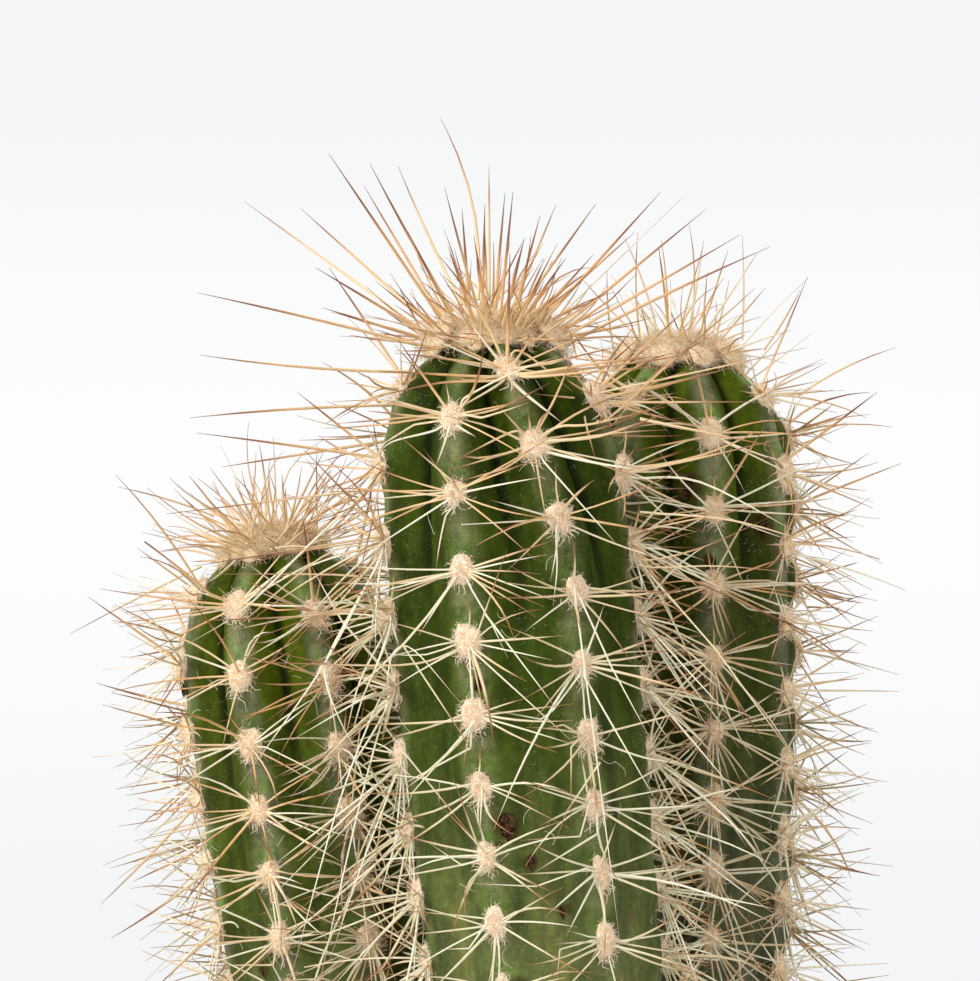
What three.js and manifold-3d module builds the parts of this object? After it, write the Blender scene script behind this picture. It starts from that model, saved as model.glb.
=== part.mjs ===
// A clump of three spiny columnar cactus stems standing in gritty soil in a plain clay pot.
// Millimetres, +Z up; the origin is the middle of the pot's underside, and -Y is the clump's front.
import * as THREE from "three";
import { mergeVertices } from "three/addons/utils/BufferGeometryUtils.js";
import Module from "manifold-3d";

const wasm = await Module();
wasm.setup();

// ---- driving dimensions ----
const SEAT_GAP = 0.35; // between two pieces that touch

const POT = {
  height: 112,
  rimRadius: 66, // outside of the rim band
  rimHeight: 24,
  rimStep: 3.2, // how far the rim band stands out of the wall
  footRadius: 43,
  wall: 6,
  floor: 8,
  chamfer: 1.6,
  sides: 36,
};

const SOIL = {
  level: 99, // mean height of the surface
  relief: 1.6, // height of its lumps
  rings: 6,
  sides: 30,
};

// base and top are where a stem's axis meets the soil and the apex; the two points between them bend it.
// radius is the widest, over the rib crests. Angles are degrees round from the front, toward +X.
// crownReach is its shortest crown needle, and its longest upright and longest leaning ones.
// Each rib's areoles stand ribLag of a pitch below those of the rib before it, and ribSway turns its top.
const STEMS = [
  {
    name: "main",
    base: [15.5, -17, SOIL.level],
    bowLow: [8.3, -17, 152],
    bowHigh: [3.2, -17, 200],
    top: [0.4, -17, 250.7],
    radius: 17.4,
    baseShare: 0.84,
    ribs: 7,
    ribLag: 3 / 7,
    firstRibAngle: 30.5,
    ribSway: [-24, 0, 0, 0, 0, 0, -2],
    firstAreole: 5.2,
    pitch: 10.6,
    crownReach: [14, 20, 31],
    seed: 11,
  },
  {
    name: "left",
    base: [-12.5, 8, SOIL.level],
    bowLow: [-19.5, 8, 141],
    bowHigh: [-26.5, 8, 184],
    top: [-32, 8, 221.3],
    radius: 16.4,
    baseShare: 0.82,
    ribs: 8,
    ribLag: 2 / 8,
    firstRibAngle: -67.8,
    ribSway: [0, 0, 0, 0, 0, 0, 0, 0],
    firstAreole: 5.6,
    pitch: 10,
    crownReach: [8, 12, 19],
    seed: 23,
  },
  {
    name: "right",
    base: [26, 18, SOIL.level],
    bowLow: [28.5, 17.5, 150],
    bowHigh: [28.2, 17, 200],
    top: [28, 17, 249.5],
    radius: 17.4,
    baseShare: 0.84,
    ribs: 8,
    ribLag: 4 / 8,
    firstRibAngle: 58.5,
    ribSway: [0, 0, 0, 0, 0, 0, 0, 0],
    firstAreole: 6.8,
    pitch: 11.1,
    crownReach: [8, 13, 20],
    seed: 37,
  },
];

const FORM = {
  domeHeight: 22, // from the apex down to full width
  domeBlunt: 2.6,
  widestAt: 50, // distance below the apex
  dishShare: 0.44, // of the stem's radius: the hollow in the apex that the young wool fills
  dishFloorShare: 0.26,
  dishRimDrop: 2, // distance of its rim below the apex level
  dishDepth: 1.6,
  furrowTop: 0.32, // depth of the furrows, as a share of the radius
  furrowLow: 0.13,
  furrowFade: 42, // distance below the apex where they stop getting shallower
  swayFade: 38, // distance below the apex where a swayed rib is back in its place
  closing: 0.09, // how much nearer each tier of areoles is, for every tier below the apex
  areoleMargin: 12, // bare length of stem above the soil
  evenFrom: 25, // heights above the soil between which the furrows die out
  evenTo: 2,
  footDepth: 20, // length of the foot below the soil line
  footRadius: 7,
  toeDepth: 2,
  footRingsAt: [0.1, 0.5, 1],
  holeRise: 7, // how far above the soil line the foot's hole is cut
};

const AREOLE = { halfWide: 2.3, halfHigh: 2.6, proud: 1.6 };

// A needle's heading is turned round its areole from the stem's right and lifted off the skin, in degrees.
const SPINE = {
  rootRadius: 0.33, // of the circle inside the root's triangle
  rimMargin: 3, // how far inside the pot's widest line every tip stays
  minLength: 6,
  keepOff: 3, // between a needle and a pot, soil or stem that it doesn't grow from
  apart: 1.1, // between the middles of needles of two pieces
  apartOwn: 0.95, // and of two needles of one piece
  trims: [1, 0.8, 0.64, 0.5], // shares of its length that a needle is tried at
  radialTurns: [4, 176],
  radialSpread: 16,
  radialLength: [9, 13.5],
  radialLift: [14, 30],
  central: { turn: [200, 340], lift: [48, 74], length: [15, 25] },
  youngCentral: { turn: [30, 150], lift: [50, 80], length: [19, 30] },
  youngTo: 30, // distance below the apex where central needles turn from rising to hanging
};

const CROWN = {
  radiusShare: 0.54, // of the stem's radius
  height: 4.4, // above the brim
  brimDrop: 1.1, // distance of the brim below the apex level
  lobeDepth: 0.07,
  rings: 4,
  sides: 14,
  needles: 30,
  needleLean: [4, 60], // from the stem's axis, at the middle and at the brim
  leanSpread: 8,
  rootSpread: 0.8, // share of the brim's radius that the needles' roots reach
  rootDepth: 2,
  rootRoom: 0.43, // least radius of the circle inside a face that takes a needle
};

const COLOURS = {
  clay: { color: 0xb96f4b, roughness: 0.86 },
  soil: { color: 0x4a3a2c, roughness: 0.95 },
  flesh: { color: 0x41602a, roughness: 0.55 },
  wool: { color: 0xc99f6a, roughness: 0.9 },
};

// ---- helpers ----
const EAST = new THREE.Vector3(1, 0, 0);
const GOLDEN_ANGLE = Math.PI * (3 - Math.sqrt(5));
const { degToRad, lerp, smoothstep, clamp } = THREE.MathUtils;
const vectorOf = (list) => new THREE.Vector3(...list);
const listOf = (count, make) => Array.from({ length: count }, (_, k) => make(k));
const turnOf = (k, count) => (k / count) * 2 * Math.PI;

function randomFrom(seed) {
  let state = seed;
  return (low, high) => {
    state = (state + 0x6d2b79f5) | 0;
    let mixed = Math.imul(state ^ (state >>> 15), 1 | state);
    mixed ^= mixed + Math.imul(mixed ^ (mixed >>> 7), 61 | mixed);
    return lerp(low, high, ((mixed ^ (mixed >>> 14)) >>> 0) / 2 ** 32);
  };
}

// The point reached from a start by going some way along each of a few directions.
function along(start, ...moves) {
  const point = start.clone();
  for (const [direction, distance] of moves) point.addScaledVector(direction, distance);
  return point;
}

// A closed three.js geometry as a solid that can be cut.
function solidOf(geometry) {
  geometry.deleteAttribute("normal");
  geometry.deleteAttribute("uv");
  const merged = mergeVertices(geometry, 1e-4);
  const vertProperties = merged.attributes.position.array;
  const triVerts = new Uint32Array(merged.index.array);
  return new wasm.Manifold(new wasm.Mesh({ numProp: 3, vertProperties, triVerts }));
}

function meshOf(name, solid, { color, roughness }) {
  const { vertProperties, triVerts } = solid.getMesh();
  const geometry = new THREE.BufferGeometry()
    .setAttribute("position", new THREE.BufferAttribute(vertProperties, 3))
    .setIndex(new THREE.BufferAttribute(triVerts, 1));
  const material = new THREE.MeshStandardMaterial({ color, roughness, metalness: 0, flatShading: true });
  const mesh = new THREE.Mesh(geometry, material);
  mesh.name = name;
  return mesh;
}

// Rings of points with the same count, closed into one skin with a pole at each end.
// rises tells which points are peaks, so that the faces around each of them meet at it.
function skinOf(firstPole, rings, lastPole, rises = () => false) {
  const sides = rings[0].length;
  const points = [firstPole, ...rings.flat(), lastPole];
  const at = (ring, side) => 1 + ring * sides + (side % sides);
  const faces = [];
  for (let side = 0; side < sides; side++) {
    faces.push([0, at(0, side), at(0, side + 1)]);
    for (let ring = 0; ring + 1 < rings.length; ring++) {
      const [a, b] = [at(ring, side), at(ring + 1, side)];
      const [c, d] = [at(ring + 1, side + 1), at(ring, side + 1)];
      if (rises(b) || rises(d)) faces.push([a, b, d], [b, c, d]);
      else faces.push([a, b, c], [a, c, d]);
    }
    faces.push([points.length - 1, at(rings.length - 1, side + 1), at(rings.length - 1, side)]);
  }
  return { points, faces };
}

function skinSolid({ points, faces }) {
  return solidOf(new THREE.BufferGeometry().setFromPoints(points).setIndex(faces.flat()));
}

// The middle and radius of the circle inside a face.
function inCircle(skin, face) {
  const [a, b, c] = face.map((corner) => skin.points[corner]);
  const [far, near, last] = [b.distanceTo(c), c.distanceTo(a), a.distanceTo(b)];
  const girth = far + near + last;
  const middle = along(new THREE.Vector3(), [a, far / girth], [b, near / girth], [c, last / girth]);
  const area = new THREE.Triangle(a, b, c).getArea();
  return { middle, radius: (2 * area) / girth };
}

// Draws one face of a skin out into a three-sided needle.
function drawOut(skin, face, tip) {
  const { middle, radius } = inCircle(skin, face);
  const share = SPINE.rootRadius / radius;
  const first = skin.points.length;
  for (const corner of face) skin.points.push(middle.clone().lerp(skin.points[corner], share));
  skin.points.push(tip);
  const [a, b, c] = face;
  const [p, q, r, peak] = [first, first + 1, first + 2, first + 3];
  skin.faces.splice(skin.faces.indexOf(face), 1);
  skin.faces.push([a, b, q], [a, q, p], [b, c, r], [b, r, q], [c, a, p], [c, p, r]);
  skin.faces.push([p, q, peak], [q, r, peak], [r, p, peak]);
}

// ---- the pot and its soil ----
const wallTop = POT.height - POT.rimHeight;

function potInside(height) {
  const outside = lerp(POT.footRadius, POT.rimRadius - POT.rimStep, Math.min(height / wallTop, 1));
  return outside - POT.wall;
}

function ringAround(radius, height, sides) {
  return listOf(sides, (side) => {
    const angle = turnOf(side, sides);
    const [x, y] = [radius * Math.cos(angle), radius * Math.sin(angle)];
    return new THREE.Vector3(x, y, height ?? soilHeight(x, y));
  });
}

function makePot() {
  const { rimRadius, rimStep, footRadius, chamfer, height, floor } = POT;
  const profile = [
    [potInside(floor), floor],
    [potInside(wallTop), wallTop],
    [potInside(height), height - chamfer],
    [potInside(height) + chamfer, height],
    [rimRadius - chamfer, height],
    [rimRadius, height - chamfer],
    [rimRadius, wallTop + chamfer],
    [rimRadius - chamfer, wallTop],
    [rimRadius - rimStep, wallTop],
    [footRadius, chamfer],
    [footRadius - chamfer, 0],
  ];
  const rings = profile.map(([radius, z]) => ringAround(radius, z, POT.sides));
  return skinSolid(skinOf(new THREE.Vector3(0, 0, floor), rings, new THREE.Vector3(0, 0, 0)));
}

function soilHeight(x, y) {
  const broad = Math.sin(x / 8.3 + 1.2) * Math.cos(y / 9.1) + Math.sin((x + 2 * y) / 13.7);
  return SOIL.level + SOIL.relief * 0.5 * broad;
}

function makeSoil() {
  const ring = (radius, height) => ringAround(radius, height, SOIL.sides);
  const flats = Math.cos(Math.PI / POT.sides); // the pot's wall is nearer at the middle of its flats
  const edge = (height) => potInside(height) * flats - SEAT_GAP;
  const bottom = POT.floor + SEAT_GAP;
  const surface = listOf(SOIL.rings, (k) => ring((edge(SOIL.level) * (k + 1)) / SOIL.rings));
  const rings = [...surface, ring(edge(wallTop), wallTop), ring(edge(bottom), bottom)];
  const middle = new THREE.Vector3(0, 0, soilHeight(0, 0));
  const plug = skinSolid(skinOf(middle, rings, new THREE.Vector3(0, 0, bottom)));
  return STEMS.reduce((soil, stem) => soil.subtract(makeFootHole(stem)), plug);
}

// ---- the form of a stem, told by the distance below its apex ----
for (const stem of STEMS) {
  const bends = [stem.top, stem.bowHigh, stem.bowLow, stem.base].map(vectorOf);
  stem.axis = new THREE.CubicBezierCurve3(...bends);
  stem.length = stem.axis.getLength();
}

function placeOn(stem, drop) {
  const share = clamp(drop / stem.length, 0, 1);
  const down = stem.axis.getTangentAt(share);
  const point = along(stem.axis.getPointAt(share), [down, drop - share * stem.length]);
  const up = down.clone().negate();
  const right = along(EAST, [up, -EAST.dot(up)]).normalize();
  const back = up.clone().cross(right);
  return { point, up, right, back };
}

function crestRadius(stem, drop) {
  const rounding = Math.sqrt(1 - (1 - Math.min(drop / FORM.domeHeight, 1)) ** FORM.domeBlunt);
  return stem.radius * rounding * lerp(1, stem.baseShare, smoothstep(drop, FORM.widestAt, stem.length));
}

// Rounded ribs with sharp furrows between them; ribsOn is 0 on a crest and a half in a furrow.
function ribShare(stem, drop, ribsOn) {
  const depth = lerp(FORM.furrowTop, FORM.furrowLow, smoothstep(drop, 0, FORM.furrowFade));
  const fade = 1 - smoothstep(drop, stem.length - FORM.evenFrom, stem.length - FORM.evenTo);
  return 1 - depth * fade * (1 - Math.abs(Math.cos(Math.PI * ribsOn)));
}

function sideways(frame, angle) {
  return along(new THREE.Vector3(), [frame.right, Math.sin(angle)], [frame.back, -Math.cos(angle)]);
}

// Four columns of skin to a rib: its crest, the two edges of its areoles and the furrow after it.
// lag is the share of a pitch by which its areoles stand lower than the first rib's.
function columnsOf(stem) {
  const lagOf = (rib) => ((rib % stem.ribs) * stem.ribLag) % 1;
  return listOf(stem.ribs, (rib) => {
    const lag = lagOf(rib);
    const furrowLag = (lag + lagOf(rib + 1)) / 2;
    const own = [-1, 0, 1].map((edge) => ({ rib, edge, lag }));
    return [...own, { rib, furrow: true, lag: furrowLag }];
  }).flat();
}

// How many ribs on from the first one a column stands.
function ribsRound(stem, column, drop) {
  const edgeShare = (AREOLE.halfWide * stem.ribs) / (2 * Math.PI * crestRadius(stem, drop));
  return column.rib + (column.furrow ? 0.5 : column.edge * Math.min(edgeShare, 0.3));
}

function angleOf(stem, column, drop) {
  const swayOf = (rib) => stem.ribSway[rib % stem.ribs];
  const sway = column.furrow ? (swayOf(column.rib) + swayOf(column.rib + 1)) / 2 : swayOf(column.rib);
  const swayed = sway * (1 - smoothstep(drop, 0, FORM.swayFade));
  return degToRad(stem.firstRibAngle + swayed) + turnOf(ribsRound(stem, column, drop), stem.ribs);
}

function skinPoint(stem, column, drop) {
  const frame = placeOn(stem, drop);
  const radius = crestRadius(stem, drop) * ribShare(stem, drop, ribsRound(stem, column, drop));
  return along(frame.point, [sideways(frame, angleOf(stem, column, drop)), radius]);
}

// A ring without ribs, with the same columns.
function roundRing(stem, drop, radius) {
  const frame = placeOn(stem, drop);
  return columnsOf(stem).map((column) => {
    return along(frame.point, [sideways(frame, angleOf(stem, column, drop)), radius]);
  });
}

// The foot under the soil line narrows to a blunt toe.
function footRings(stem, grown) {
  const collar = crestRadius(stem, stem.length);
  return FORM.footRingsAt.map((share) => {
    const radius = lerp(collar, FORM.footRadius, share ** 1.5);
    return roundRing(stem, stem.length + (FORM.footDepth + grown) * share, radius + grown);
  });
}

function toeOf(stem, grown) {
  return placeOn(stem, stem.length + FORM.footDepth + FORM.toeDepth + grown).point;
}

// The plain hole for the foot: its own form a little wider, and open above the soil.
function makeFootHole(stem) {
  const lidDrop = stem.length - FORM.holeRise;
  const lid = roundRing(stem, lidDrop, crestRadius(stem, lidDrop) + 2 * SEAT_GAP);
  const rings = [lid, ...footRings(stem, SEAT_GAP)];
  return skinSolid(skinOf(placeOn(stem, lidDrop).point, rings, toeOf(stem, SEAT_GAP)));
}

// ---- areoles ----
// The way each areole faces, with the stem's right and upward directions beside it.
function areoleAt(stem, column, drop) {
  const frame = placeOn(stem, drop);
  const side = sideways(frame, angleOf(stem, column, drop));
  const slope = crestRadius(stem, drop + 0.5) - crestRadius(stem, drop - 0.5);
  const out = along(side, [frame.up, slope]).normalize();
  const right = frame.up.clone().cross(side).normalize();
  const up = out.clone().cross(right);
  return { drop, out, right, up, point: along(skinPoint(stem, column, drop), [out, AREOLE.proud]) };
}

// The bare stem with its areoles raised along the crests, three rows of skin to each.
function makeStemSkin(stem) {
  const columns = columnsOf(stem);
  const areoles = [];
  const middleOf = ({ lag }, tier) => {
    const down = tier + lag;
    return stem.firstAreole + stem.pitch * down - FORM.closing * down ** 2;
  };
  const lowest = stem.length - FORM.areoleMargin;
  let tiers = 0;
  while (columns.every((column) => middleOf(column, tiers) < lowest)) tiers++;
  const row = (tier, shift) =>
    columns.map((column) => {
      const drop = middleOf(column, tier) + shift;
      if (shift || column.edge !== 0) return skinPoint(stem, column, drop);
      areoles.push(areoleAt(stem, column, drop));
      return areoles.at(-1).point;
    });
  const shoulder = columns.map((column) => {
    const drop = (FORM.dishRimDrop + middleOf(column, 0) - AREOLE.halfHigh) / 2;
    return skinPoint(stem, column, drop);
  });
  const rings = [
    roundRing(stem, FORM.dishRimDrop + FORM.dishDepth, stem.radius * FORM.dishFloorShare),
    roundRing(stem, FORM.dishRimDrop, stem.radius * FORM.dishShare),
    shoulder,
    ...listOf(tiers, (tier) => [-1, 0, 1].map((part) => row(tier, part * AREOLE.halfHigh))).flat(),
    ...footRings(stem, 0),
  ];
  const dish = placeOn(stem, FORM.dishRimDrop + FORM.dishDepth).point;
  const peaks = new Set(areoles.map(({ point }) => 1 + rings.flat().indexOf(point)));
  const skin = skinOf(dish, rings, toeOf(stem, 0), (index) => peaks.has(index));
  return { skin, areoles };
}

// ---- needles ----
const MARK_STEP = 3; // between the marks along each stem that tell how far off a point is

for (const stem of STEMS) {
  stem.marks = listOf(Math.ceil(stem.length / MARK_STEP), (k) => {
    const drop = MARK_STEP * k;
    return { point: placeOn(stem, drop).point, radius: crestRadius(stem, drop + MARK_STEP) };
  });
}

// Whether a point is clear of the pot's rim, the soil and every stem and crown that its needle isn't part of.
function clearPoint(point, { stem: owner, fromCrown }) {
  const fromMiddle = Math.hypot(point.x, point.y);
  if (fromMiddle > POT.rimRadius - SPINE.rimMargin) return false;
  if (point.z < SOIL.level + SPINE.keepOff) return false;
  const overRim = fromMiddle > potInside(POT.height) - SPINE.keepOff;
  if (overRim && point.z < POT.height + SPINE.keepOff) return false;
  return STEMS.every((stem) => {
    const brim = stem.radius * CROWN.radiusShare;
    const offCrown = point.distanceTo(placeOn(stem, CROWN.brimDrop).point) > brim + SPINE.keepOff / 2;
    const offFlesh = stem.marks.every(
      (mark) => point.distanceTo(mark.point) > mark.radius + SPINE.keepOff,
    );
    return (offCrown || (stem === owner && fromCrown)) && (offFlesh || stem === owner);
  });
}

const pointOn = (needle, share) => along(needle.root, [needle.heading, needle.length * share]);

// Shortest distance between the middles of two needles, each taken from a share of its length on.
function needlesApart(one, other, from) {
  let nearest = Infinity;
  for (let share = from; share <= 1; share += 0.05) {
    const point = pointOn(one, share);
    const reach = clamp(point.clone().sub(other.root).dot(other.heading), from * other.length, other.length);
    nearest = Math.min(nearest, point.distanceTo(along(other.root, [other.heading, reach])));
  }
  return nearest;
}

const needles = []; // every needle so far, with the piece and the areole that it grows from

// Grows a needle from the face nearest to its heading, as long as leaves it clear of everything else.
function growNeedle(skin, faces, needle) {
  const face = faces.reduce((best, next) => {
    const reach = (candidate) => inCircle(skin, candidate).middle.dot(needle.heading);
    return reach(next) > reach(best) ? next : best;
  });
  const rooted = { ...needle, root: inCircle(skin, face).middle };
  for (const share of SPINE.trims) {
    const tried = { ...rooted, length: needle.length * share };
    if (tried.length < SPINE.minLength) return;
    const clear = [0.1, 0.25, 0.4, 0.6, 0.8, 1].every((at) => clearPoint(pointOn(tried, at), needle));
    const apart = needles.every((other) => {
      if (other.piece !== needle.piece) return needlesApart(tried, other, 0) > SPINE.apart;
      return needlesApart(tried, other, other.bed === needle.bed ? 0.25 : 0) > SPINE.apartOwn;
    });
    if (clear && apart) {
      needles.push(tried);
      drawOut(skin, face, pointOn(tried, 1));
      faces.splice(faces.indexOf(face), 1);
      return;
    }
  }
}

function headingFrom(areole, turn, lift) {
  const [round, off] = [degToRad(turn), degToRad(lift)];
  const flat = Math.cos(off);
  return along(
    new THREE.Vector3(),
    [areole.right, Math.cos(round) * flat],
    [areole.up, Math.sin(round) * flat],
    [areole.out, Math.sin(off)],
  );
}

// Two radial needles on every areole, and a long central one on every second.
function makeStem(stem) {
  const random = randomFrom(stem.seed);
  const { skin, areoles } = makeStemSkin(stem);
  areoles.forEach((areole, count) => {
    const peak = skin.points.indexOf(areole.point);
    const faces = skin.faces.filter((face) => face.includes(peak));
    const rooted = { stem, piece: stem.name + "_stem", bed: areole };
    if (count % 2 === 0) {
      const { turn, lift, length } = areole.drop < SPINE.youngTo ? SPINE.youngCentral : SPINE.central;
      const heading = headingFrom(areole, random(...turn), random(...lift));
      growNeedle(skin, faces, { ...rooted, heading, length: random(...length) });
    }
    for (const turn of SPINE.radialTurns) {
      const spread = random(-SPINE.radialSpread, SPINE.radialSpread);
      const heading = headingFrom(areole, turn + spread, random(...SPINE.radialLift));
      growNeedle(skin, faces, { ...rooted, heading, length: random(...SPINE.radialLength) });
    }
  });
  return skinSolid(skin);
}

// ---- the woolly crown in each apex ----
function makeCrown(stem) {
  const random = randomFrom(stem.seed + 5);
  const frame = placeOn(stem, 0);
  const brim = stem.radius * CROWN.radiusShare;
  const ring = (radius, drop, lobe) =>
    listOf(CROWN.sides, (side) => {
      const reach = radius * (1 + (side % 2 ? lobe : -lobe));
      return along(placeOn(stem, drop).point, [sideways(frame, turnOf(side, CROWN.sides)), reach]);
    });
  const bowl = listOf(CROWN.rings, (k) => {
    const rise = (1 - (k + 1) / CROWN.rings) * (Math.PI / 2);
    return ring(brim * Math.cos(rise), CROWN.brimDrop - CROWN.height * Math.sin(rise), CROWN.lobeDepth);
  });
  const floorDrop = FORM.dishRimDrop + FORM.dishDepth - SEAT_GAP;
  const rings = [
    ...bowl,
    ring(stem.radius * FORM.dishShare - SEAT_GAP, FORM.dishRimDrop - SEAT_GAP, 0),
    ring(stem.radius * FORM.dishFloorShare - SEAT_GAP, floorDrop, 0),
  ];
  const peak = placeOn(stem, CROWN.brimDrop - CROWN.height).point;
  const skin = skinOf(peak, rings, placeOn(stem, floorDrop).point);

  const upper = skin.faces.filter((face) => {
    const { middle, radius } = inCircle(skin, face);
    return middle.sub(frame.point).dot(frame.up) > -CROWN.brimDrop && radius > CROWN.rootRoom;
  });
  for (let k = 0; k < CROWN.needles; k++) {
    const share = Math.sqrt((k + 0.5) / CROWN.needles);
    const lean = degToRad(lerp(...CROWN.needleLean, share) + random(-CROWN.leanSpread, CROWN.leanSpread));
    const side = sideways(frame, k * GOLDEN_ANGLE);
    const heading = along(new THREE.Vector3(), [frame.up, Math.cos(lean)], [side, Math.sin(lean)]);
    const target = along(peak, [frame.up, -CROWN.rootDepth], [side, brim * CROWN.rootSpread * share]);
    const offTarget = (face) => inCircle(skin, face).middle.distanceTo(target);
    const nearest = upper.reduce((best, next) => (offTarget(next) < offTarget(best) ? next : best));
    const needle = { stem, piece: stem.name + "_crown", fromCrown: true, bed: k, heading };
    const chosen = [nearest];
    const [shortest, upright, leaning] = stem.crownReach;
    growNeedle(skin, chosen, { ...needle, length: random(shortest, lerp(upright, leaning, share)) });
    if (chosen.length === 0) upper.splice(upper.indexOf(nearest), 1);
  }
  return skinSolid(skin);
}

// ---- the whole plant ----
const cactus = new THREE.Group();
cactus.add(meshOf("pot", makePot(), COLOURS.clay));
cactus.add(meshOf("soil", makeSoil(), COLOURS.soil));
for (const stem of STEMS) {
  cactus.add(meshOf(stem.name + "_stem", makeStem(stem), COLOURS.flesh));
  cactus.add(meshOf(stem.name + "_crown", makeCrown(stem), COLOURS.wool));
}

export default cactus;
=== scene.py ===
import math
import random

import bmesh
import bpy
import numpy as np
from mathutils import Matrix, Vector, noise


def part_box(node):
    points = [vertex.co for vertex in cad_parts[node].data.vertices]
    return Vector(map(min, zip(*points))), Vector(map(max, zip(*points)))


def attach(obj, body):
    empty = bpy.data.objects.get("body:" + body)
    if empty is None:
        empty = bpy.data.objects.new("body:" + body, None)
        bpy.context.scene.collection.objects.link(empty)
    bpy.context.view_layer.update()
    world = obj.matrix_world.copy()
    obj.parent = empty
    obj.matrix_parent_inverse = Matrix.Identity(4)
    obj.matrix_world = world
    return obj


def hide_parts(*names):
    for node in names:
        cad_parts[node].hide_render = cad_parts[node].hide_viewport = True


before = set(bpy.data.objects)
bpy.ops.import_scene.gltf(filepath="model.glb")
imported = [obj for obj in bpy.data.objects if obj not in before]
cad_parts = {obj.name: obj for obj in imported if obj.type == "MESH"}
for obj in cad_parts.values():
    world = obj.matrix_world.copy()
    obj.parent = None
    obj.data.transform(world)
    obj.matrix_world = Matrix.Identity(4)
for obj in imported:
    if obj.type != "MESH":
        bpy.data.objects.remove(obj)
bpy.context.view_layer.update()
scene = bpy.context.scene
mm = 0.001


def tint(red, green, blue):
    # a colour told by its 0-255 screen values
    return tuple((value / 255) ** 2.2 for value in (red, green, blue)) + (1,)


def smooth(value, low, high):
    share = np.clip((value - low) / (high - low), 0, 1)
    return share * share * (3 - 2 * share)


def unit(vector):
    return vector / np.linalg.norm(vector)


class Graph:
    # short ways to add nodes to a tree; each input is a value or another node's socket
    def __init__(self, tree):
        self.tree = tree

    def feed(self, socket, value):
        if isinstance(value, bpy.types.NodeSocket):
            self.tree.links.new(value, socket)
        elif value is not None:
            socket.default_value = value

    def add(self, kind, inputs=None, **settings):
        node = self.tree.nodes.new(kind)
        for key, value in settings.items():
            setattr(node, key, value)
        for place, value in (inputs or {}).items():
            self.feed(node.inputs[place], value)
        return node

    def math(self, operation, *inputs):
        node = self.add("ShaderNodeMath", dict(enumerate(inputs)), operation=operation)
        return node.outputs[0]

    def product(self, first, *others):
        for other in others:
            first = self.math("MULTIPLY", first, other)
        return first

    def vector(self, operation, *inputs):
        node = self.add("ShaderNodeVectorMath", dict(enumerate(inputs)), operation=operation)
        return node.outputs["Value" if operation in ("DOT_PRODUCT", "DISTANCE") else "Vector"]

    def scaled(self, vector, factor):
        node = self.add("ShaderNodeVectorMath", {"Vector": vector, "Scale": factor}, operation="SCALE")
        return node.outputs["Vector"]

    def total(self, first, *others):
        for other in others:
            first = self.vector("ADD", first, other)
        return first

    def span(self, value, low, high, start=0.0, end=1.0, smooth=True):
        # value goes from start to end as it goes from low to high, and stays there beyond
        kind = "SMOOTHSTEP" if smooth else "LINEAR"
        inputs = {"Value": value, "From Min": low, "From Max": high, "To Min": start, "To Max": end}
        return self.add("ShaderNodeMapRange", inputs, interpolation_type=kind).outputs["Result"]

    def mix(self, factor, first, second, kind="RGBA", blend="MIX"):
        base = {"FLOAT": 2, "RGBA": 6}[kind]
        node = self.add("ShaderNodeMix", {0: factor, base: first, base + 1: second}, data_type=kind)
        if kind == "RGBA":
            node.blend_type = blend
        return node.outputs[base // 2 - 1]

    def times(self, colour, shade):
        return self.mix(1.0, colour, shade, blend="MULTIPLY")

    def noise(self, where, scale, detail=3.0, roughness=0.55, output="Fac"):
        # scale is about the number of lumps in a metre
        inputs = {"Vector": where, "Scale": scale, "Detail": detail, "Roughness": roughness}
        return self.add("ShaderNodeTexNoise", inputs).outputs[0 if output == "Fac" else 1]

    def known(self, key):
        # an attribute of the piece, as its material reads it
        return self.add("ShaderNodeAttribute", attribute_name=key).outputs["Fac"]

    def paint(self, colour):
        self.feed(self.shader.inputs["Base Color"], colour)

    def bump(self, height, strength, distance):
        inputs = {"Strength": strength, "Distance": distance, "Height": height}
        self.feed(self.shader.inputs["Normal"], self.add("ShaderNodeBump", inputs).outputs["Normal"])

    def field(self, key):
        # an attribute of the mesh, as a geometry tree reads it
        return self.add("GeometryNodeInputNamedAttribute", {"Name": key}, data_type="FLOAT").outputs[0]

    def marked(self, shape, domain, facts):
        for key, value in facts.items():
            inputs = {"Geometry": shape, "Name": key, "Value": value}
            node = self.add("GeometryNodeStoreNamedAttribute", inputs, data_type="FLOAT", domain=domain)
            shape = node.outputs[0]
        return shape

    def chance(self, low, high, seed):
        # a random number for each element, or a random vector
        if isinstance(low, tuple):
            inputs = {"Min": low, "Max": high, "Seed": seed}
            return self.add("FunctionNodeRandomValue", inputs, data_type="FLOAT_VECTOR").outputs["Value"]
        inputs = {2: low, 3: high, "Seed": seed}
        return self.add("FunctionNodeRandomValue", inputs, data_type="FLOAT").outputs[1]

    def joined(self, *shapes):
        node = self.add("GeometryNodeJoinGeometry")
        for shape in shapes:
            self.feed(node.inputs[0], shape)
        return node.outputs[0]

    def finish(self, shape):
        # how every geometry tree ends
        shape = self.add("GeometryNodeSetShadeSmooth", {0: shape}).outputs[0]
        shape = self.add("GeometryNodeRealizeInstances", {0: shape}).outputs[0]
        done = self.add("GeometryNodeSetMaterial", {0: shape, 2: self.given["Material"]})
        self.feed(self.result, done.outputs[0])


def newMaterial(name, roughness, specular):
    material = bpy.data.materials.new(name)
    material.use_nodes = True
    graph = Graph(material.node_tree)
    graph.shader = material.node_tree.nodes["Principled BSDF"]
    graph.shader.inputs["Roughness"].default_value = roughness
    graph.shader.inputs["Specular IOR Level"].default_value = specular
    graph.place = graph.add("ShaderNodeTexCoord").outputs["Object"]
    return material, graph


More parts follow.
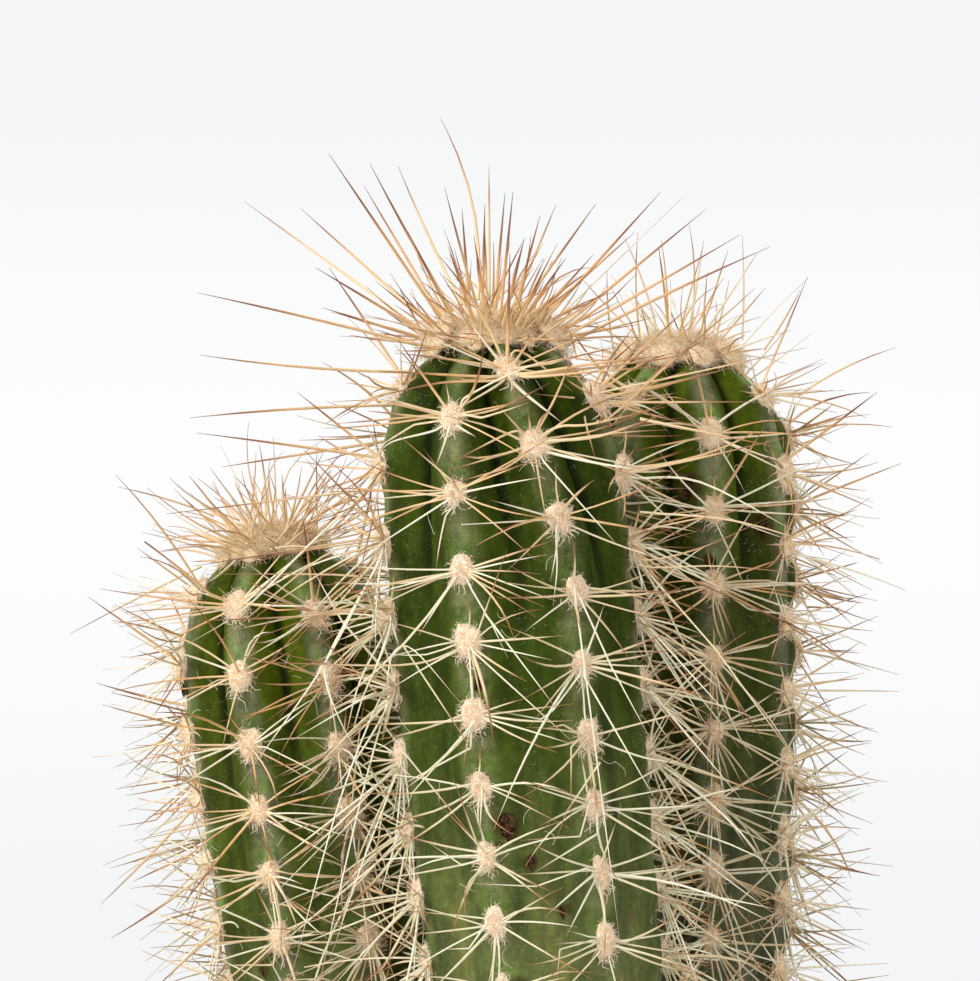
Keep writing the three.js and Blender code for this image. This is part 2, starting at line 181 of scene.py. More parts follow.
def newTree(name, floats, ints):
    # a geometry tree with named inputs and their starting values
    tree = bpy.data.node_groups.new(name, "GeometryNodeTree")
    for way in ("INPUT", "OUTPUT"):
        tree.interface.new_socket("Geometry", in_out=way, socket_type="NodeSocketGeometry")
    for kind, values in (("Float", floats), ("Int", ints)):
        for label, value in values.items():
            socket = tree.interface.new_socket(label, in_out="INPUT", socket_type="NodeSocket" + kind)
            socket.default_value = value
    tree.interface.new_socket("Material", in_out="INPUT", socket_type="NodeSocketMaterial")
    graph = Graph(tree)
    graph.given = graph.add("NodeGroupInput").outputs
    graph.result = graph.add("NodeGroupOutput").inputs["Geometry"]
    return tree, graph


def hostMesh(name, points, edges=(), faces=(), facts=None):
    # points in metres, and for each fact one number a point
    mesh = bpy.data.meshes.new(name)
    mesh.from_pydata([tuple(point) for point in points], list(edges), list(faces))
    for key, values in (facts or {}).items():
        mesh.attributes.new(key, "FLOAT", "POINT").data.foreach_set("value", np.ravel(values))
    return mesh


def grown(name, host, tree, values):
    # runs a geometry tree over the host mesh and hands back the plain mesh that it makes
    holder = bpy.data.objects.new(name, host)
    scene.collection.objects.link(holder)
    modifier = holder.modifiers.new("grow", "NODES")
    modifier.node_group = tree
    for item in tree.interface.items_tree:
        if item.in_out == "INPUT" and item.name in values:
            modifier[item.identifier] = values[item.name]
    depsgraph = bpy.context.evaluated_depsgraph_get()
    mesh = bpy.data.meshes.new_from_object(
        holder.evaluated_get(depsgraph), preserve_all_data_layers=True, depsgraph=depsgraph
    )
    bpy.data.objects.remove(holder)
    mesh.name = name
    mesh.materials.clear()
    mesh.materials.append(values["Material"])
    print("made", name, "with", len(mesh.polygons), "faces")
    return mesh


def coated(mesh, material):
    # the ending of a mesh that no tree makes
    mesh.materials.append(material)
    for face in mesh.polygons:
        face.use_smooth = True
    return mesh


def faceOutwards(mesh):
    solid = bmesh.new()
    solid.from_mesh(mesh)
    bmesh.ops.recalc_face_normals(solid, faces=solid.faces)
    loose = [edge for edge in solid.edges if not edge.is_manifold]
    if loose:
        print("edges that don't join two faces in", mesh.name, len(loose))
    solid.to_mesh(mesh)
    solid.free()


def placed(name, mesh, node):
    # one piece of the visual model, in the place of a CAD node
    faceOutwards(mesh)
    piece = bpy.data.objects.new(name, mesh)
    scene.collection.objects.link(piece)
    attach(piece, "root")
    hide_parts(node)


# the form of the stems, the same as in the CAD part; millimetres
soilLevel = 99
stemForm = {
    "domeHeight": 22,
    "domeBlunt": 2.6,
    "widestAt": 50,
    "furrowTop": 0.32,
    "furrowLow": 0.13,
    "furrowFade": 42,
    "furrowSharp": 0.02,  # how wide the bottom of a furrow is near the apex
    "furrowSoft": 0.3,  # and lower down
    "softening": (25, 70),  # the drops between which it widens
    "swayFade": 38,
    "closing": 0.09,  # how quickly the areoles close up down the stem
    "areoleMargin": 12,
    "areoleSwell": 0.42,  # how far the crest swells at each areole
    "swellPoint": 5,  # higher is narrower
    "swellStart": (2, 10),
    "swellEnd": 8,
    "evenFrom": 25,
    "evenTo": 2,
    "footDepth": 20,
    "footRadius": 7,
    "footCurve": 1.5,
    "toeDepth": 2,
    "unevenness": 0.16,
    "evenTop": 12,
    "crowding": 0.35,  # how much closer the rows of the skin are near the apex
    "axisSamples": 1500,
    "axisStep": 0.25,
    "markStep": 2.5,
    "upperShadingSpan": (12, 40),  # the drops between which the first two levels of painted light and shade mix
    "lowerShadingSpan": (50, 95),
}
sideStem = {"ribs": 8, "firstSway": 0, "secondSway": 0, "lastSway": 0, "sided": 1.0, "extraSpines": 0.5}
stemValues = {
    "main": {
        # corners of the axis, a Bezier curve from the apex down
        "axis": [[0.4, -17, 250.7], [3.2, -17, 200], [8.3, -17, 152], [15.5, -17, soilLevel]],
        "radius": 17.4,
        "baseShare": 0.84,
        "ribs": 7,
        "ribLag": 3 / 7,
        "firstRibAngle": 30.5,
        "firstSway": -24,
        "secondSway": -26,
        "lastSway": -2,
        "firstAreole": 5.2,
        "pitch": 10.6,
        "seed": 11,
        "sided": 0.0,  # 1 for a stem beside the main one
        "lifts": (1.0, 1.1, 1.22),  # painted light and shade: how much the flesh is brightened or darkened at the top, a third of the way down and low
        "extraSpines": 0.0,  # share of side spines added to the usual fan
        "toneShare": 1.0,  # lower is paler
        "warmth": -0.08,  # of the older spines
        "woolHoney": 0.0,
        "tangled": [5, 1],  # ribs that face another stem, with more hanging spines
        "crownTone": (0.3, 1.0),
        "crownShort": 130,
        "crownPads": {0: 0.4, 1: 1.3, 5: 1.3, 6: 0.45},  # ribs whose crown tuft has another size
        "crownHoney": 0.5,  # how tan the crown's wool is
    },
    "left": sideStem | {
        "axis": [[-32, 8, 221.3], [-26.5, 8, 184], [-19.5, 8, 141], [-12.5, 8, soilLevel]],
        "radius": 16.4,
        "baseShare": 0.82,
        "ribLag": 2 / 8,
        "firstRibAngle": -67.8,
        "firstAreole": 5.6,
        "pitch": 10,
        "seed": 23,
        # painted light: the left stem's flesh brightened at every height
        "lifts": (1.7, 1.55, 1.9),
        "toneShare": 0.55,
        "warmth": 0.3,
        "woolHoney": 0.25,
        "tangled": [3, 2],
        "crownTone": (0.2, 0.5),
        "crownShort": 100,
        "crownPads": {rib: 0.5 for rib in range(8)},
        "crownHoney": 1.0,
    },
    "right": sideStem | {
        "axis": [[28, 17, 249.5], [28.2, 17, 200], [28.5, 17.5, 150], [26, 18, soilLevel]],
        "radius": 17.4,
        "baseShare": 0.84,
        "ribLag": 4 / 8,
        "firstRibAngle": 58.5,
        "firstAreole": 6.8,
        "pitch": 11.1,
        "seed": 37,
        # painted light at the top and painted shade low down on the right stem's flesh
        "lifts": (1.75, 1.0, 0.75),
        "toneShare": 0.6,
        "warmth": 0.4,
        "woolHoney": 0.4,
        "tangled": [6, 7],
        "crownTone": (0.08, 0.5),
        "crownShort": 60,
        "crownPads": {rib: 0.9 for rib in range(8)},
        "crownHoney": 0.65,
    },
}


class Stem:
    # where a stem's skin, ribs and areoles are, told by the distance below its apex
    def __init__(self, name, values):
        self.name = name
        for key, value in values.items():
            setattr(self, key, value)
        form = stemForm
        share = np.linspace(0, 1, form["axisSamples"])[:, None]
        rest = 1 - share
        weights = np.hstack([rest**3, 3 * rest**2 * share, 3 * rest * share**2, share**3])
        line = weights @ np.array(self.axis, float)
        steps = np.linalg.norm(np.diff(line, axis=0), axis=1)
        run = np.concatenate([[0], np.cumsum(steps)])
        self.length = run[-1]
        self.whole = self.length + form["footDepth"] + form["toeDepth"]
        onward = unit(line[-1] - line[-2]) * (self.whole - self.length)
        run = np.append(run, self.whole)
        line = np.vstack([line, line[-1] + onward])
        self.drops = np.arange(0, self.whole + form["axisStep"], form["axisStep"])
        self.points = np.column_stack([np.interp(self.drops, run, line[:, k]) for k in range(3)])
        marks = np.arange(0, self.length, form["markStep"])
        self.markPoints = np.array([self.at(drop)[0] for drop in marks])
        self.markRadii = np.array([self.crest(drop + form["markStep"]) for drop in marks])
        self.areoles = list(self.eachAreole())

    def along(self, drop):
        return np.array([np.interp(drop, self.drops, self.points[:, k]) for k in range(3)])

    def at(self, drop):
        point = self.along(drop)
        up = unit(self.along(max(drop - 1, 0)) - self.along(min(drop + 1, self.whole)))
        right = unit(np.array([1, 0, 0]) - up * up[0])
        return point, up, right, np.cross(up, right)

    def facing(self, drop, turn):
        # the axis there, its direction, and the way out from it, turned round from the front
        point, up, right, back = self.at(drop)
        return point, up, right * math.sin(turn) - back * math.cos(turn)

    def crest(self, drop):
        form = stemForm
        rounding = math.sqrt(max(1 - (1 - min(drop / form["domeHeight"], 1)) ** form["domeBlunt"], 0))
        narrowing = 1 + (self.baseShare - 1) * smooth(drop, form["widestAt"], self.length)
        return self.radius * rounding * narrowing

    def gaps(self, line):
        # from each point of a line to the skin at each mark
        return np.linalg.norm(line[:, None] - self.markPoints, axis=2) - self.markRadii

    def lag(self, rib):
        return ((rib % self.ribs) * self.ribLag) % 1

    def angle(self, rib, drop):
        sway = {0: self.firstSway, 1: self.secondSway, self.ribs - 1: self.lastSway}.get(rib, 0)
        swayed = sway * (1 - smooth(drop, 0, stemForm["swayFade"]))
        return math.radians(self.firstRibAngle + swayed) + 2 * math.pi * rib / self.ribs

    def surface(self, drop, degrees):
        # a point of the skin and the way it faces, that many degrees round from the front
        point, _, side = self.facing(drop, math.radians(degrees))
        off = (degrees - self.firstRibAngle) * self.ribs / 360
        form = stemForm
        deep = (form["furrowLow"] - form["furrowTop"]) * smooth(drop, 0, form["furrowFade"])
        deep = form["furrowTop"] + deep
        deep = deep * (1 - smooth(drop, self.length - form["evenFrom"], self.length - form["evenTo"]))
        return point + side * self.crest(drop) * (1 - deep * (1 - abs(math.cos(math.pi * off)))), side

    def areoleDrop(self, rib, tier):
        down = tier + self.lag(rib)
        return self.firstAreole + self.pitch * down - stemForm["closing"] * down**2

    def eachAreole(self):
        tier = 0
        lowest = self.length - stemForm["areoleMargin"]
        while all(self.areoleDrop(rib, tier) < lowest for rib in range(self.ribs)):
            for rib in range(self.ribs):
                drop = self.areoleDrop(rib, tier)
                point, up, side = self.facing(drop, self.angle(rib, drop))
                slope = self.crest(drop + 0.5) - self.crest(drop - 0.5)
                out = unit(side + up * slope)
                across = unit(np.cross(up, side))
                skin = point + side * self.crest(drop)
                axes = {"out": out, "across": across, "up": np.cross(out, across)}
                yield {"rib": rib, "drop": drop, "skin": skin} | axes
            tier += 1


stems = {name: Stem(name, values) for name, values in stemValues.items()}
print("stems", {name: (round(stem.length), len(stem.areoles)) for name, stem in stems.items()})

fleshLook = {
    "bloom": tint(104, 106, 68),
    "lowBloom": tint(98, 102, 64),
    "top": tint(48, 60, 4),
    "flank": tint(52, 64, 18),
    "low": tint(82, 91, 54),
    # painted shade, darkening the deep creases near the apex
    "furrow": tint(14, 22, 4),
    "olive": tint(100, 100, 56),
    "fresh": tint(62, 88, 18),
    "fleck": tint(168, 176, 140),
    "sideTint": (1.12, 1, 1.8, 1),  # of the flesh of the other two stems
    "stain": tint(62, 50, 26),
    "base": tint(112, 104, 62),
    "roughness": 0.55,
}
# corky scars: (stem, drop, degrees round from the front, size), millimetres
scars = [
    ("main", 67, -12, 1.7),
    ("main", 72.5, -3, 1.0),
    ("main", 79.5, 13, 0.9),
    ("main", 89, -13, 1.2),
    ("main", 47.6, -18, 0.8),
    ("main", 69.6, -15, 0.6),
    ("main", 110, 150, 1.9),
    ("main", 60, 100, 1.2),
    ("left", 18, -72, 2.0),
    ("left", 80, 190, 1.6),
    ("left", 60, -40, 1.0),
    ("right", 20, 3, 1.7),
    ("right", 26, 47, 1.8),
    ("right", 31, 12, 1.0),
    ("right", 90, 170, 2.0),
    ("right", 60, 100, 1.3),
]


def makeFlesh():
    material, graph = newMaterial("cactus flesh", fleshLook["roughness"], 0.06)
    place = graph.place
    off = graph.known("offCrest")
    along = graph.known("alongRib")
    drop = graph.known("drop")
    broad = graph.noise(place, 90, 4)
    fine = graph.noise(place, 900, 3)
    wander = graph.math("MULTIPLY_ADD", graph.math("SUBTRACT", broad, 0.5), 0.4, off)

    # green flanks, and a grey bloom over the crests
    flank = graph.mix(graph.span(drop, 5, 55), fleshLook["top"], fleshLook["flank"])
    flank = graph.mix(graph.span(drop, 50, 100), flank, fleshLook["low"])
    crest = graph.mix(graph.span(drop, 20, 90), fleshLook["bloom"], fleshLook["lowBloom"])
    patchy = graph.span(graph.noise(place, 420, 4, 0.6), 0.3, 0.6, 0.4, 1)
    sided = graph.known("sided")
    bloom = graph.product(graph.span(wander, 0.04, 0.5, 1, 0), patchy, graph.mix(sided, 1, 0.6, "FLOAT"))
    skin = graph.mix(bloom, flank, crest)

    # olive valleys low down, painted shade in the creases near the top, fresh skin above each areole, an
    # old base
    valley = graph.product(graph.span(wander, 0.5, 0.95), graph.span(drop, 50, 100, 0, 0.75))
    skin = graph.mix(valley, skin, fleshLook["olive"])
    creaseShade = graph.product(graph.span(off, 0.78, 0.98), graph.span(drop, 20, 48, 0.9, 0))
    skin = graph.mix(creaseShade, skin, fleshLook["furrow"])
    above = graph.product(graph.span(along, -6, -2.6), graph.span(along, -2.4, -1.2, 1, 0))
    above = graph.product(above, graph.span(off, 0.1, 0.4, 0.7, 0))
    skin = graph.mix(above, skin, fleshLook["fresh"])
    low = graph.product(graph.span(drop, 95, 150), graph.span(broad, 0.35, 0.62), 0.7)
    skin = graph.mix(low, skin, fleshLook["base"])

    # streaks down the stem and a fine grain, then the tint of this stem, and painted light and shade that
    # brighten or darken its flesh by height
    streaked = graph.vector("MULTIPLY", place, (1, 1, 0.3))
    blotch = graph.span(graph.noise(streaked, 300, 4, 0.65), 0.32, 0.66, 0.68, 1.34)
    grain = graph.product(blotch, graph.span(fine, 0.3, 0.7, 0.86, 1.14))
    shade = graph.add("ShaderNodeCombineXYZ", {0: grain, 1: grain, 2: grain}).outputs[0]
    skin = graph.times(skin, shade)
    lift = graph.mix(sided, (1, 1, 1, 1), fleshLook["sideTint"])
    # painted light and shade: the lift fact brightens or darkens each stem's flesh, lighter on the left
    # stem and darker low on the right stem
    skin = graph.times(skin, graph.scaled(lift, graph.known("lift")))

    # strewn pale flecks and a frost of them on the crests
    fleck = graph.span(graph.noise(place, 3600, 2, 0.7), 0.6, 0.74)
    strewn = graph.span(graph.noise(place, 240, 3), 0.44, 0.6)
    strewn = graph.math("MAXIMUM", strewn, graph.span(off, 0.4, 0.1))
    fleck = graph.product(fleck, strewn, 0.5)
    skin = graph.mix(fleck, skin, fleshLook["fleck"])
    frost = graph.span(graph.noise(place, 5200, 2), 0.48, 0.66)
    frost = graph.product(frost, patchy, graph.span(wander, 0.3, 0.02, 0, 0.3))
    skin = graph.mix(frost, skin, fleshLook["fleck"])

    # ragged stains round the scars
    ragged = graph.scaled(graph.noise(place, 420, 4, output="Color"), 2.4 * mm)
    ragged = graph.vector("SUBTRACT", ragged, (1.2 * mm, 1.2 * mm, 1.2 * mm))
    ragged = graph.vector("ADD", place, ragged)
    stained = 0.0
    for owner, low, degrees, size in scars:
        spot = stems[owner].surface(low, degrees)[0]
        away = graph.vector("DISTANCE", ragged, tuple(spot * mm))
        stained = graph.math("MAXIMUM", stained, graph.span(away, 0.7 * size * mm, 1.6 * size * mm, 1, 0))
    skin = graph.mix(graph.product(stained, 0.75), skin, fleshLook["stain"])
    graph.paint(skin)
    rough = graph.math("MULTIPLY_ADD", stained, 0.3, fleshLook["roughness"])
    graph.feed(graph.shader.inputs["Roughness"], rough)
    graph.bump(graph.noise(place, 1500, 2), 0.35, 0.12 * mm)
    return material


spineLook = {
    "oldRoot": tint(228, 220, 186),
    "oldMiddle": tint(218, 206, 168),
    "oldTip": tint(164, 118, 78),
    "youngRoot": tint(230, 198, 150),
    "youngMiddle": tint(210, 160, 108),
    "youngTip": tint(136, 90, 64),
    "dark": tint(84, 60, 54),
    "white": tint(234, 230, 206),
    "roughness": 0.5,
}


def makeSpineLook():
    # tone 0 is the whitest spine and 1 the reddest
    material, graph = newMaterial("spine straw", spineLook["roughness"], 0.25)
    share = graph.known("share")
    tone = graph.known("tone")
    youth = graph.known("youth")
    look = spineLook
    root = graph.mix(youth, look["oldRoot"], look["youngRoot"])
    middle = graph.mix(youth, look["oldMiddle"], look["youngMiddle"])
    tip = graph.mix(youth, look["oldTip"], look["youngTip"])
    redAt = graph.math("MULTIPLY_ADD", tone, -0.36, 1.0)
    colour = graph.mix(graph.span(share, 0.02, 0.5), root, middle)
    colour = graph.mix(graph.span(share, graph.math("SUBTRACT", redAt, 0.3), redAt), colour, tip)
    darkened = graph.product(graph.span(share, 0.72, 0.98), graph.span(tone, 0.6, 0.9, 0, 0.75))
    colour = graph.mix(darkened, colour, look["dark"])
    pale = graph.product(graph.span(tone, 0.3, 0.1), graph.span(share, 0.7, 1.0, 0.8, 0.2))
    colour = graph.mix(pale, colour, look["white"])
    streak = graph.noise(graph.place, 1300, 2)
    shade = graph.mix(streak, (0.86, 0.85, 0.83, 1), (1.1, 1.1, 1.1, 1))
    graph.paint(graph.times(colour, shade))
    return material


woolLook = {
    "fibre": tint(250, 234, 208),
    "bare": tint(214, 162, 116),
    "shadow": tint(230, 202, 168),
    "honey": tint(232, 204, 160),
    "roughness": 0.85,
}


def makeWoolLook():
    # centre is 1 in the middle of a pad, where spines push through, and 0 at its edge
    material, graph = newMaterial("areole wool", woolLook["roughness"], 0.1)
    blotch = graph.noise(graph.place, 3200, 3)
    fibre = graph.known("fibre")
    colour = graph.mix(graph.span(blotch, 0.4, 0.62), woolLook["shadow"], woolLook["fibre"])
    bare = graph.product(graph.known("centre"), graph.span(blotch, 0.66, 0.46))
    bare = graph.product(bare, graph.mix(fibre, 0.7, 0.3, "FLOAT"))
    colour = graph.mix(bare, colour, woolLook["bare"])
    colour = graph.mix(graph.product(fibre, 0.7), colour, woolLook["fibre"])
    honey = graph.product(graph.known("honey"), graph.span(blotch, 0.3, 0.7, 1, 0.7))
    colour = graph.mix(honey, colour, woolLook["honey"])
    graph.paint(colour)
    graph.shader.inputs["Sheen Weight"].default_value = 0.25
    graph.bump(graph.noise(graph.place, 2600, 2), 0.8, 0.2 * mm)
    return material


flesh = makeFlesh()
spineMaterial = makeSpineLook()
wool = makeWoolLook()
print("plant materials made")


def makeSkinTree():
    # a grid wrapped round the stem's axis; x runs round it and y down it
    form = stemForm
    floats = {"Length": 0.15, "Radius": 0.0166, "Base share": 0.84, "Rib lag": 0.4, "First angle": 0.5}
    floats |= {"First sway": 0.0, "Second sway": 0.0, "Last sway": 0.0, "First areole": 0.005}
    floats |= {"Pitch": 0.01, "Sided": 0.0, "Top lift": 1.0, "Middle lift": 1.0, "Low lift": 1.0}
    tree, graph = newTree("ribbed skin", floats, {"Ribs": 7, "Columns a rib": 24, "Rows": 260})
    given = graph.given
    calc = graph.math
    columns = graph.product(given["Ribs"], given["Columns a rib"])
    count = {"Vertices X": calc("ADD", columns, 1), "Vertices Y": calc("ADD", given["Rows"], 1)}
    grid = graph.add("GeometryNodeMeshGrid", count)
    place = graph.add("GeometryNodeInputPosition").outputs[0]
    cell = graph.add("ShaderNodeSeparateXYZ", {0: place}).outputs
    turns = calc("ADD", cell[0], 0.5)
    down = calc("ADD", cell[1], 0.5)
    toeEnd = (form["footDepth"] + form["toeDepth"]) * mm
    whole = calc("ADD", given["Length"], toeEnd)
    evenly = graph.product(down, 1 - form["crowding"])
    eased = calc("MULTIPLY_ADD", graph.product(down, down), form["crowding"], evenly)
    drop = graph.product(eased, whole)
    onRibs = graph.product(turns, given["Ribs"])
    nearest = calc("ROUND", onRibs)
    off = calc("ABSOLUTE", calc("SUBTRACT", onRibs, nearest))
    rib = calc("FLOORED_MODULO", nearest, given["Ribs"])

    # the radius over the crests, then the furrows, then the foot
    domed = calc("SUBTRACT", 1, graph.span(drop, 0, form["domeHeight"] * mm, smooth=False))
    rounding = calc("SQRT", calc("SUBTRACT", 1, calc("POWER", domed, form["domeBlunt"])))
    narrowing = graph.span(drop, form["widestAt"] * mm, given["Length"], 1, given["Base share"])
    crest = graph.product(given["Radius"], graph.product(rounding, narrowing))
    depth = graph.span(drop, 0, form["furrowFade"] * mm, form["furrowTop"], form["furrowLow"])
    evenFrom = calc("SUBTRACT", given["Length"], form["evenFrom"] * mm)
    evenTo = calc("SUBTRACT", given["Length"], form["evenTo"] * mm)
    depth = graph.product(depth, graph.span(drop, evenFrom, evenTo, 1, 0))
    cosine = calc("COSINE", graph.product(off, math.pi))
    start, end = form["softening"]
    soft = graph.span(drop, start * mm, end * mm, form["furrowSharp"] ** 2, form["furrowSoft"] ** 2)
    level = calc("SQRT", calc("ADD", 1, soft))
    wave = calc("SUBTRACT", level, calc("SQRT", calc("MULTIPLY_ADD", cosine, cosine, soft)))
    ribbed = graph.product(crest, calc("SUBTRACT", 1, graph.product(depth, wave)))
    under = calc("SUBTRACT", drop, given["Length"])
    footShare = graph.span(under, 0, form["footDepth"] * mm, smooth=False)
    footShare = calc("POWER", footShare, form["footCurve"])
    radius = graph.mix(footShare, ribbed, form["footRadius"] * mm, "FLOAT")
    toeShare = graph.span(under, form["footDepth"] * mm, toeEnd, smooth=False)
    toe = calc("SQRT", calc("SUBTRACT", 1, graph.product(toeShare, toeShare)))
    radius = graph.product(radius, toe)

    # the crest swells at each areole; phase goes from -0.5 to 0.5 between two middles
    closing = form["closing"] * mm
    pitch = given["Pitch"]
    past = graph.product(calc("SUBTRACT", drop, given["First areole"]), 4 * closing)
    root = calc("SQRT", calc("MAXIMUM", calc("SUBTRACT", graph.product(pitch, pitch), past), 0))
    tiers = calc("DIVIDE", calc("SUBTRACT", pitch, root), 2 * closing)
    lag = calc("FRACT", graph.product(rib, given["Rib lag"]))
    phase = calc("SUBTRACT", calc("FRACT", calc("ADD", calc("SUBTRACT", tiers, lag), 0.5)), 0.5)
    crestward = calc("POWER", cosine, form["swellPoint"])
    swell = graph.product(calc("COSINE", graph.product(phase, 2 * math.pi)), crestward)
    lastAreole = calc("SUBTRACT", given["Length"], form["areoleMargin"] * mm)
    ended = graph.span(drop, lastAreole, calc("ADD", lastAreole, form["swellEnd"] * mm), 1, 0)
    start, end = form["swellStart"]
    swell = graph.product(swell, ended, graph.span(drop, start * mm, end * mm))
    radius = calc("MULTIPLY_ADD", swell, form["areoleSwell"] * mm, radius)

    # three ribs swerve near the apex and pull the skin beside them along
    firstOff = calc("PINGPONG", onRibs, calc("DIVIDE", given["Ribs"], 2))
    secondOff = calc("ABSOLUTE", calc("SUBTRACT", onRibs, 1))
    lastOff = calc("ABSOLUTE", calc("SUBTRACT", onRibs, calc("SUBTRACT", given["Ribs"], 1)))
    sway = 0
    for away, label in ((firstOff, "First sway"), (secondOff, "Second sway"), (lastOff, "Last sway")):
        pull = calc("SUBTRACT", 1, calc("MINIMUM", away, 1))
        sway = calc("MULTIPLY_ADD", pull, given[label], sway)
    sway = graph.product(sway, graph.span(drop, 0, form["swayFade"] * mm, 1, 0))
    angle = calc("ADD", calc("ADD", given["First angle"], sway), graph.product(turns, 2 * math.pi))

    # round the axis, and a little uneven
    axis = graph.add("GeometryNodeMeshToCurve", {0: given["Geometry"]}).outputs[0]
    sample = graph.add("GeometryNodeSampleCurve", {"Curves": axis, "Length": drop}, mode="LENGTH")
    up = graph.scaled(sample.outputs["Tangent"], -1.0)
    lean = graph.vector("DOT_PRODUCT", up, (1, 0, 0))
    right = graph.vector("NORMALIZE", graph.vector("SUBTRACT", (1, 0, 0), graph.scaled(up, lean)))
    front = graph.vector("CROSS_PRODUCT", right, up)
    side = graph.total(
        graph.scaled(right, calc("SINE", angle)),
        graph.scaled(front, calc("COSINE", angle)),
    )
    target = graph.total(sample.outputs["Position"], graph.scaled(side, radius))
    rough = calc("SUBTRACT", graph.noise(target, 170, 3), 0.5)
    rough = graph.product(
        rough,
        2 * form["unevenness"] * mm,
        graph.span(drop, 0, form["evenTop"] * mm),
        graph.span(under, 0, form["footDepth"] * mm, 1, 0),
    )
    target = graph.total(target, graph.scaled(side, rough))

    facts = {"offCrest": graph.product(off, 2), "drop": calc("DIVIDE", drop, mm)}
    facts["alongRib"] = calc("DIVIDE", graph.product(phase, pitch), mm)
    facts["sided"] = given["Sided"]
    # painted light and shade: the lift fact is a brightness factor for the flesh at the top, in the middle
    # and low down
    start, end = form["upperShadingSpan"]
    lift = graph.span(drop, start * mm, end * mm, given["Top lift"], given["Middle lift"])
    start, end = form["lowerShadingSpan"]
    facts["lift"] = graph.mix(graph.span(drop, start * mm, end * mm), lift, given["Low lift"], "FLOAT")
    shaped = graph.marked(grid.outputs["Mesh"], "POINT", facts)
    shaped = graph.add("GeometryNodeSetPosition", {"Geometry": shaped, "Position": target}).outputs[0]
    merged = {"Geometry": shaped, "Distance": 0.002 * mm}
    graph.finish(graph.add("GeometryNodeMergeByDistance", merged).outputs[0])
    return tree


skinTree = makeSkinTree()
for name, stem in stems.items():
    axis = hostMesh(name + " axis", stem.points * mm, [(k, k + 1) for k in range(len(stem.points) - 1)])
    values = {"Length": stem.length * mm, "Radius": stem.radius * mm, "Base share": stem.baseShare}
    values |= {"Rib lag": stem.ribLag, "First angle": math.radians(stem.firstRibAngle), "Ribs": stem.ribs}
    values |= {"First sway": math.radians(stem.firstSway), "Last sway": math.radians(stem.lastSway)}
    values |= {"Second sway": math.radians(stem.secondSway), "Sided": stem.sided}
    # painted light and shade of this stem's flesh
    values |= dict(zip(("Top lift", "Middle lift", "Low lift"), stem.lifts))
    values |= {"First areole": stem.firstAreole * mm, "Pitch": stem.pitch * mm, "Material": flesh}
    placed(name + "_skin", grown(name + "_skin", axis, skinTree, values), name + "_stem")

# lengths in millimetres, turns round the areole from its right side and lifts off the skin in degrees
spineSizes = {
    "longRadius": 0.24,
    "sideRadius": 0.168,
    "strayRadius": 0.14,
    "tipRadius": 0.03,
    "sides": 5,
    "rootSwell": 1.25,
    "bluntShare": 0.025,  # of the spines, with a broken tip
    "bend": 0.045,
    "kinked": 0.12,  # share of spines with a sharp bend
    "kinkShare": 0.07,
    "ageing": (8, 75),  # the drops between which brown young spines give way to pale old ones
    "needleRoot": 0.8,  # CAD needles with a wider root, which are most of them, aren't taken over
    "needleLength": 5,  # the least
    "longFrom": 14.2,  # those from this length on are thick
    "sideTurns": [-26, -15, -4, 7, 19],  # the fan to each side, from level; CAD's needle takes one place
    "sideLift": (9, 32),
    "sideLength": (10, 17),
    "missing": 0.14,  # share of the fan's places that are empty
    "extraLift": (15, 50),
    "extraLength": (10, 19),
    "shortTurns": ((65, 115, 0.8, 5, 9), (235, 305, 0.9, 7, 12)),  # up and down: turns, count, lengths
    "shortLift": (12, 40),
    "frontTurns": ((30, 150), (195, 345)),  # of a long spine near the apex, and lower down
    "frontLift": (35, 74),
    "frontLength": (11, 19),
    "elbows": 0.32,  # share of lower areoles with a spine that leaves downward and turns aside
    "tangle": 8,  # more spines on each areole of the ribs that face another stem
    "tangleLift": (10, 65),
    "tangleLength": (9, 22),
    "hanging": 0.3,  # share of lower areoles with thin spines hanging straight down
    "hangingTurn": (258, 282),
    "hangingLift": (8, 22),
    "hangingLength": (11, 16),
    "sag": 0.12,
    "longShare": 0.2,  # share of lower areoles with one very long pale spine
    "palestTurns": ((200, 235), (305, 340)),
    "palestLift": (18, 45),
    "palestLength": (23, 32),
    "tries": 4,  # how often a spine that isn't clear is lifted and shortened
    "liftStep": 6,
    "steepest": 84,
    "shrink": 0.88,
    "skinGap": 0.15,
    "clearance": 1.5,  # from the other stems and over the pot's rim
    "soilGap": 2,
    "rimRoom": 3.2,  # inside the pot's largest radius
    "wallRoom": 11.2,  # the same for what is lower than the rim
    "lint": 170,  # loose hairs on the skin of a stem
    "lintRadius": 0.024,
    "lintLength": (1, 3.2),
}
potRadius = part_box("pot")[1][0] / mm
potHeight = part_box("pot")[1][2] / mm


def needlesOf(node):
    # the CAD needles of a node that have a small root, each from its middle to the tip, in millimetres
    solid = bmesh.new()
    solid.from_mesh(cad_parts[node].data)
    bmesh.ops.remove_doubles(solid, verts=solid.verts, dist=0.01 * mm)
    found = []
    for tip in solid.verts:
        roots = [edge.other_vert(tip).co for edge in tip.link_edges]
        if len(roots) != 3:
            continue
        middle = sum(roots, Vector()) / 3
        wide = max((root - middle).length for root in roots) / mm
        long = (tip.co - middle).length / mm
        if wide < spineSizes["needleRoot"] and long > spineSizes["needleLength"]:
            found.append((np.array(middle) / mm, np.array(tip.co) / mm))
    solid.free()
    return found


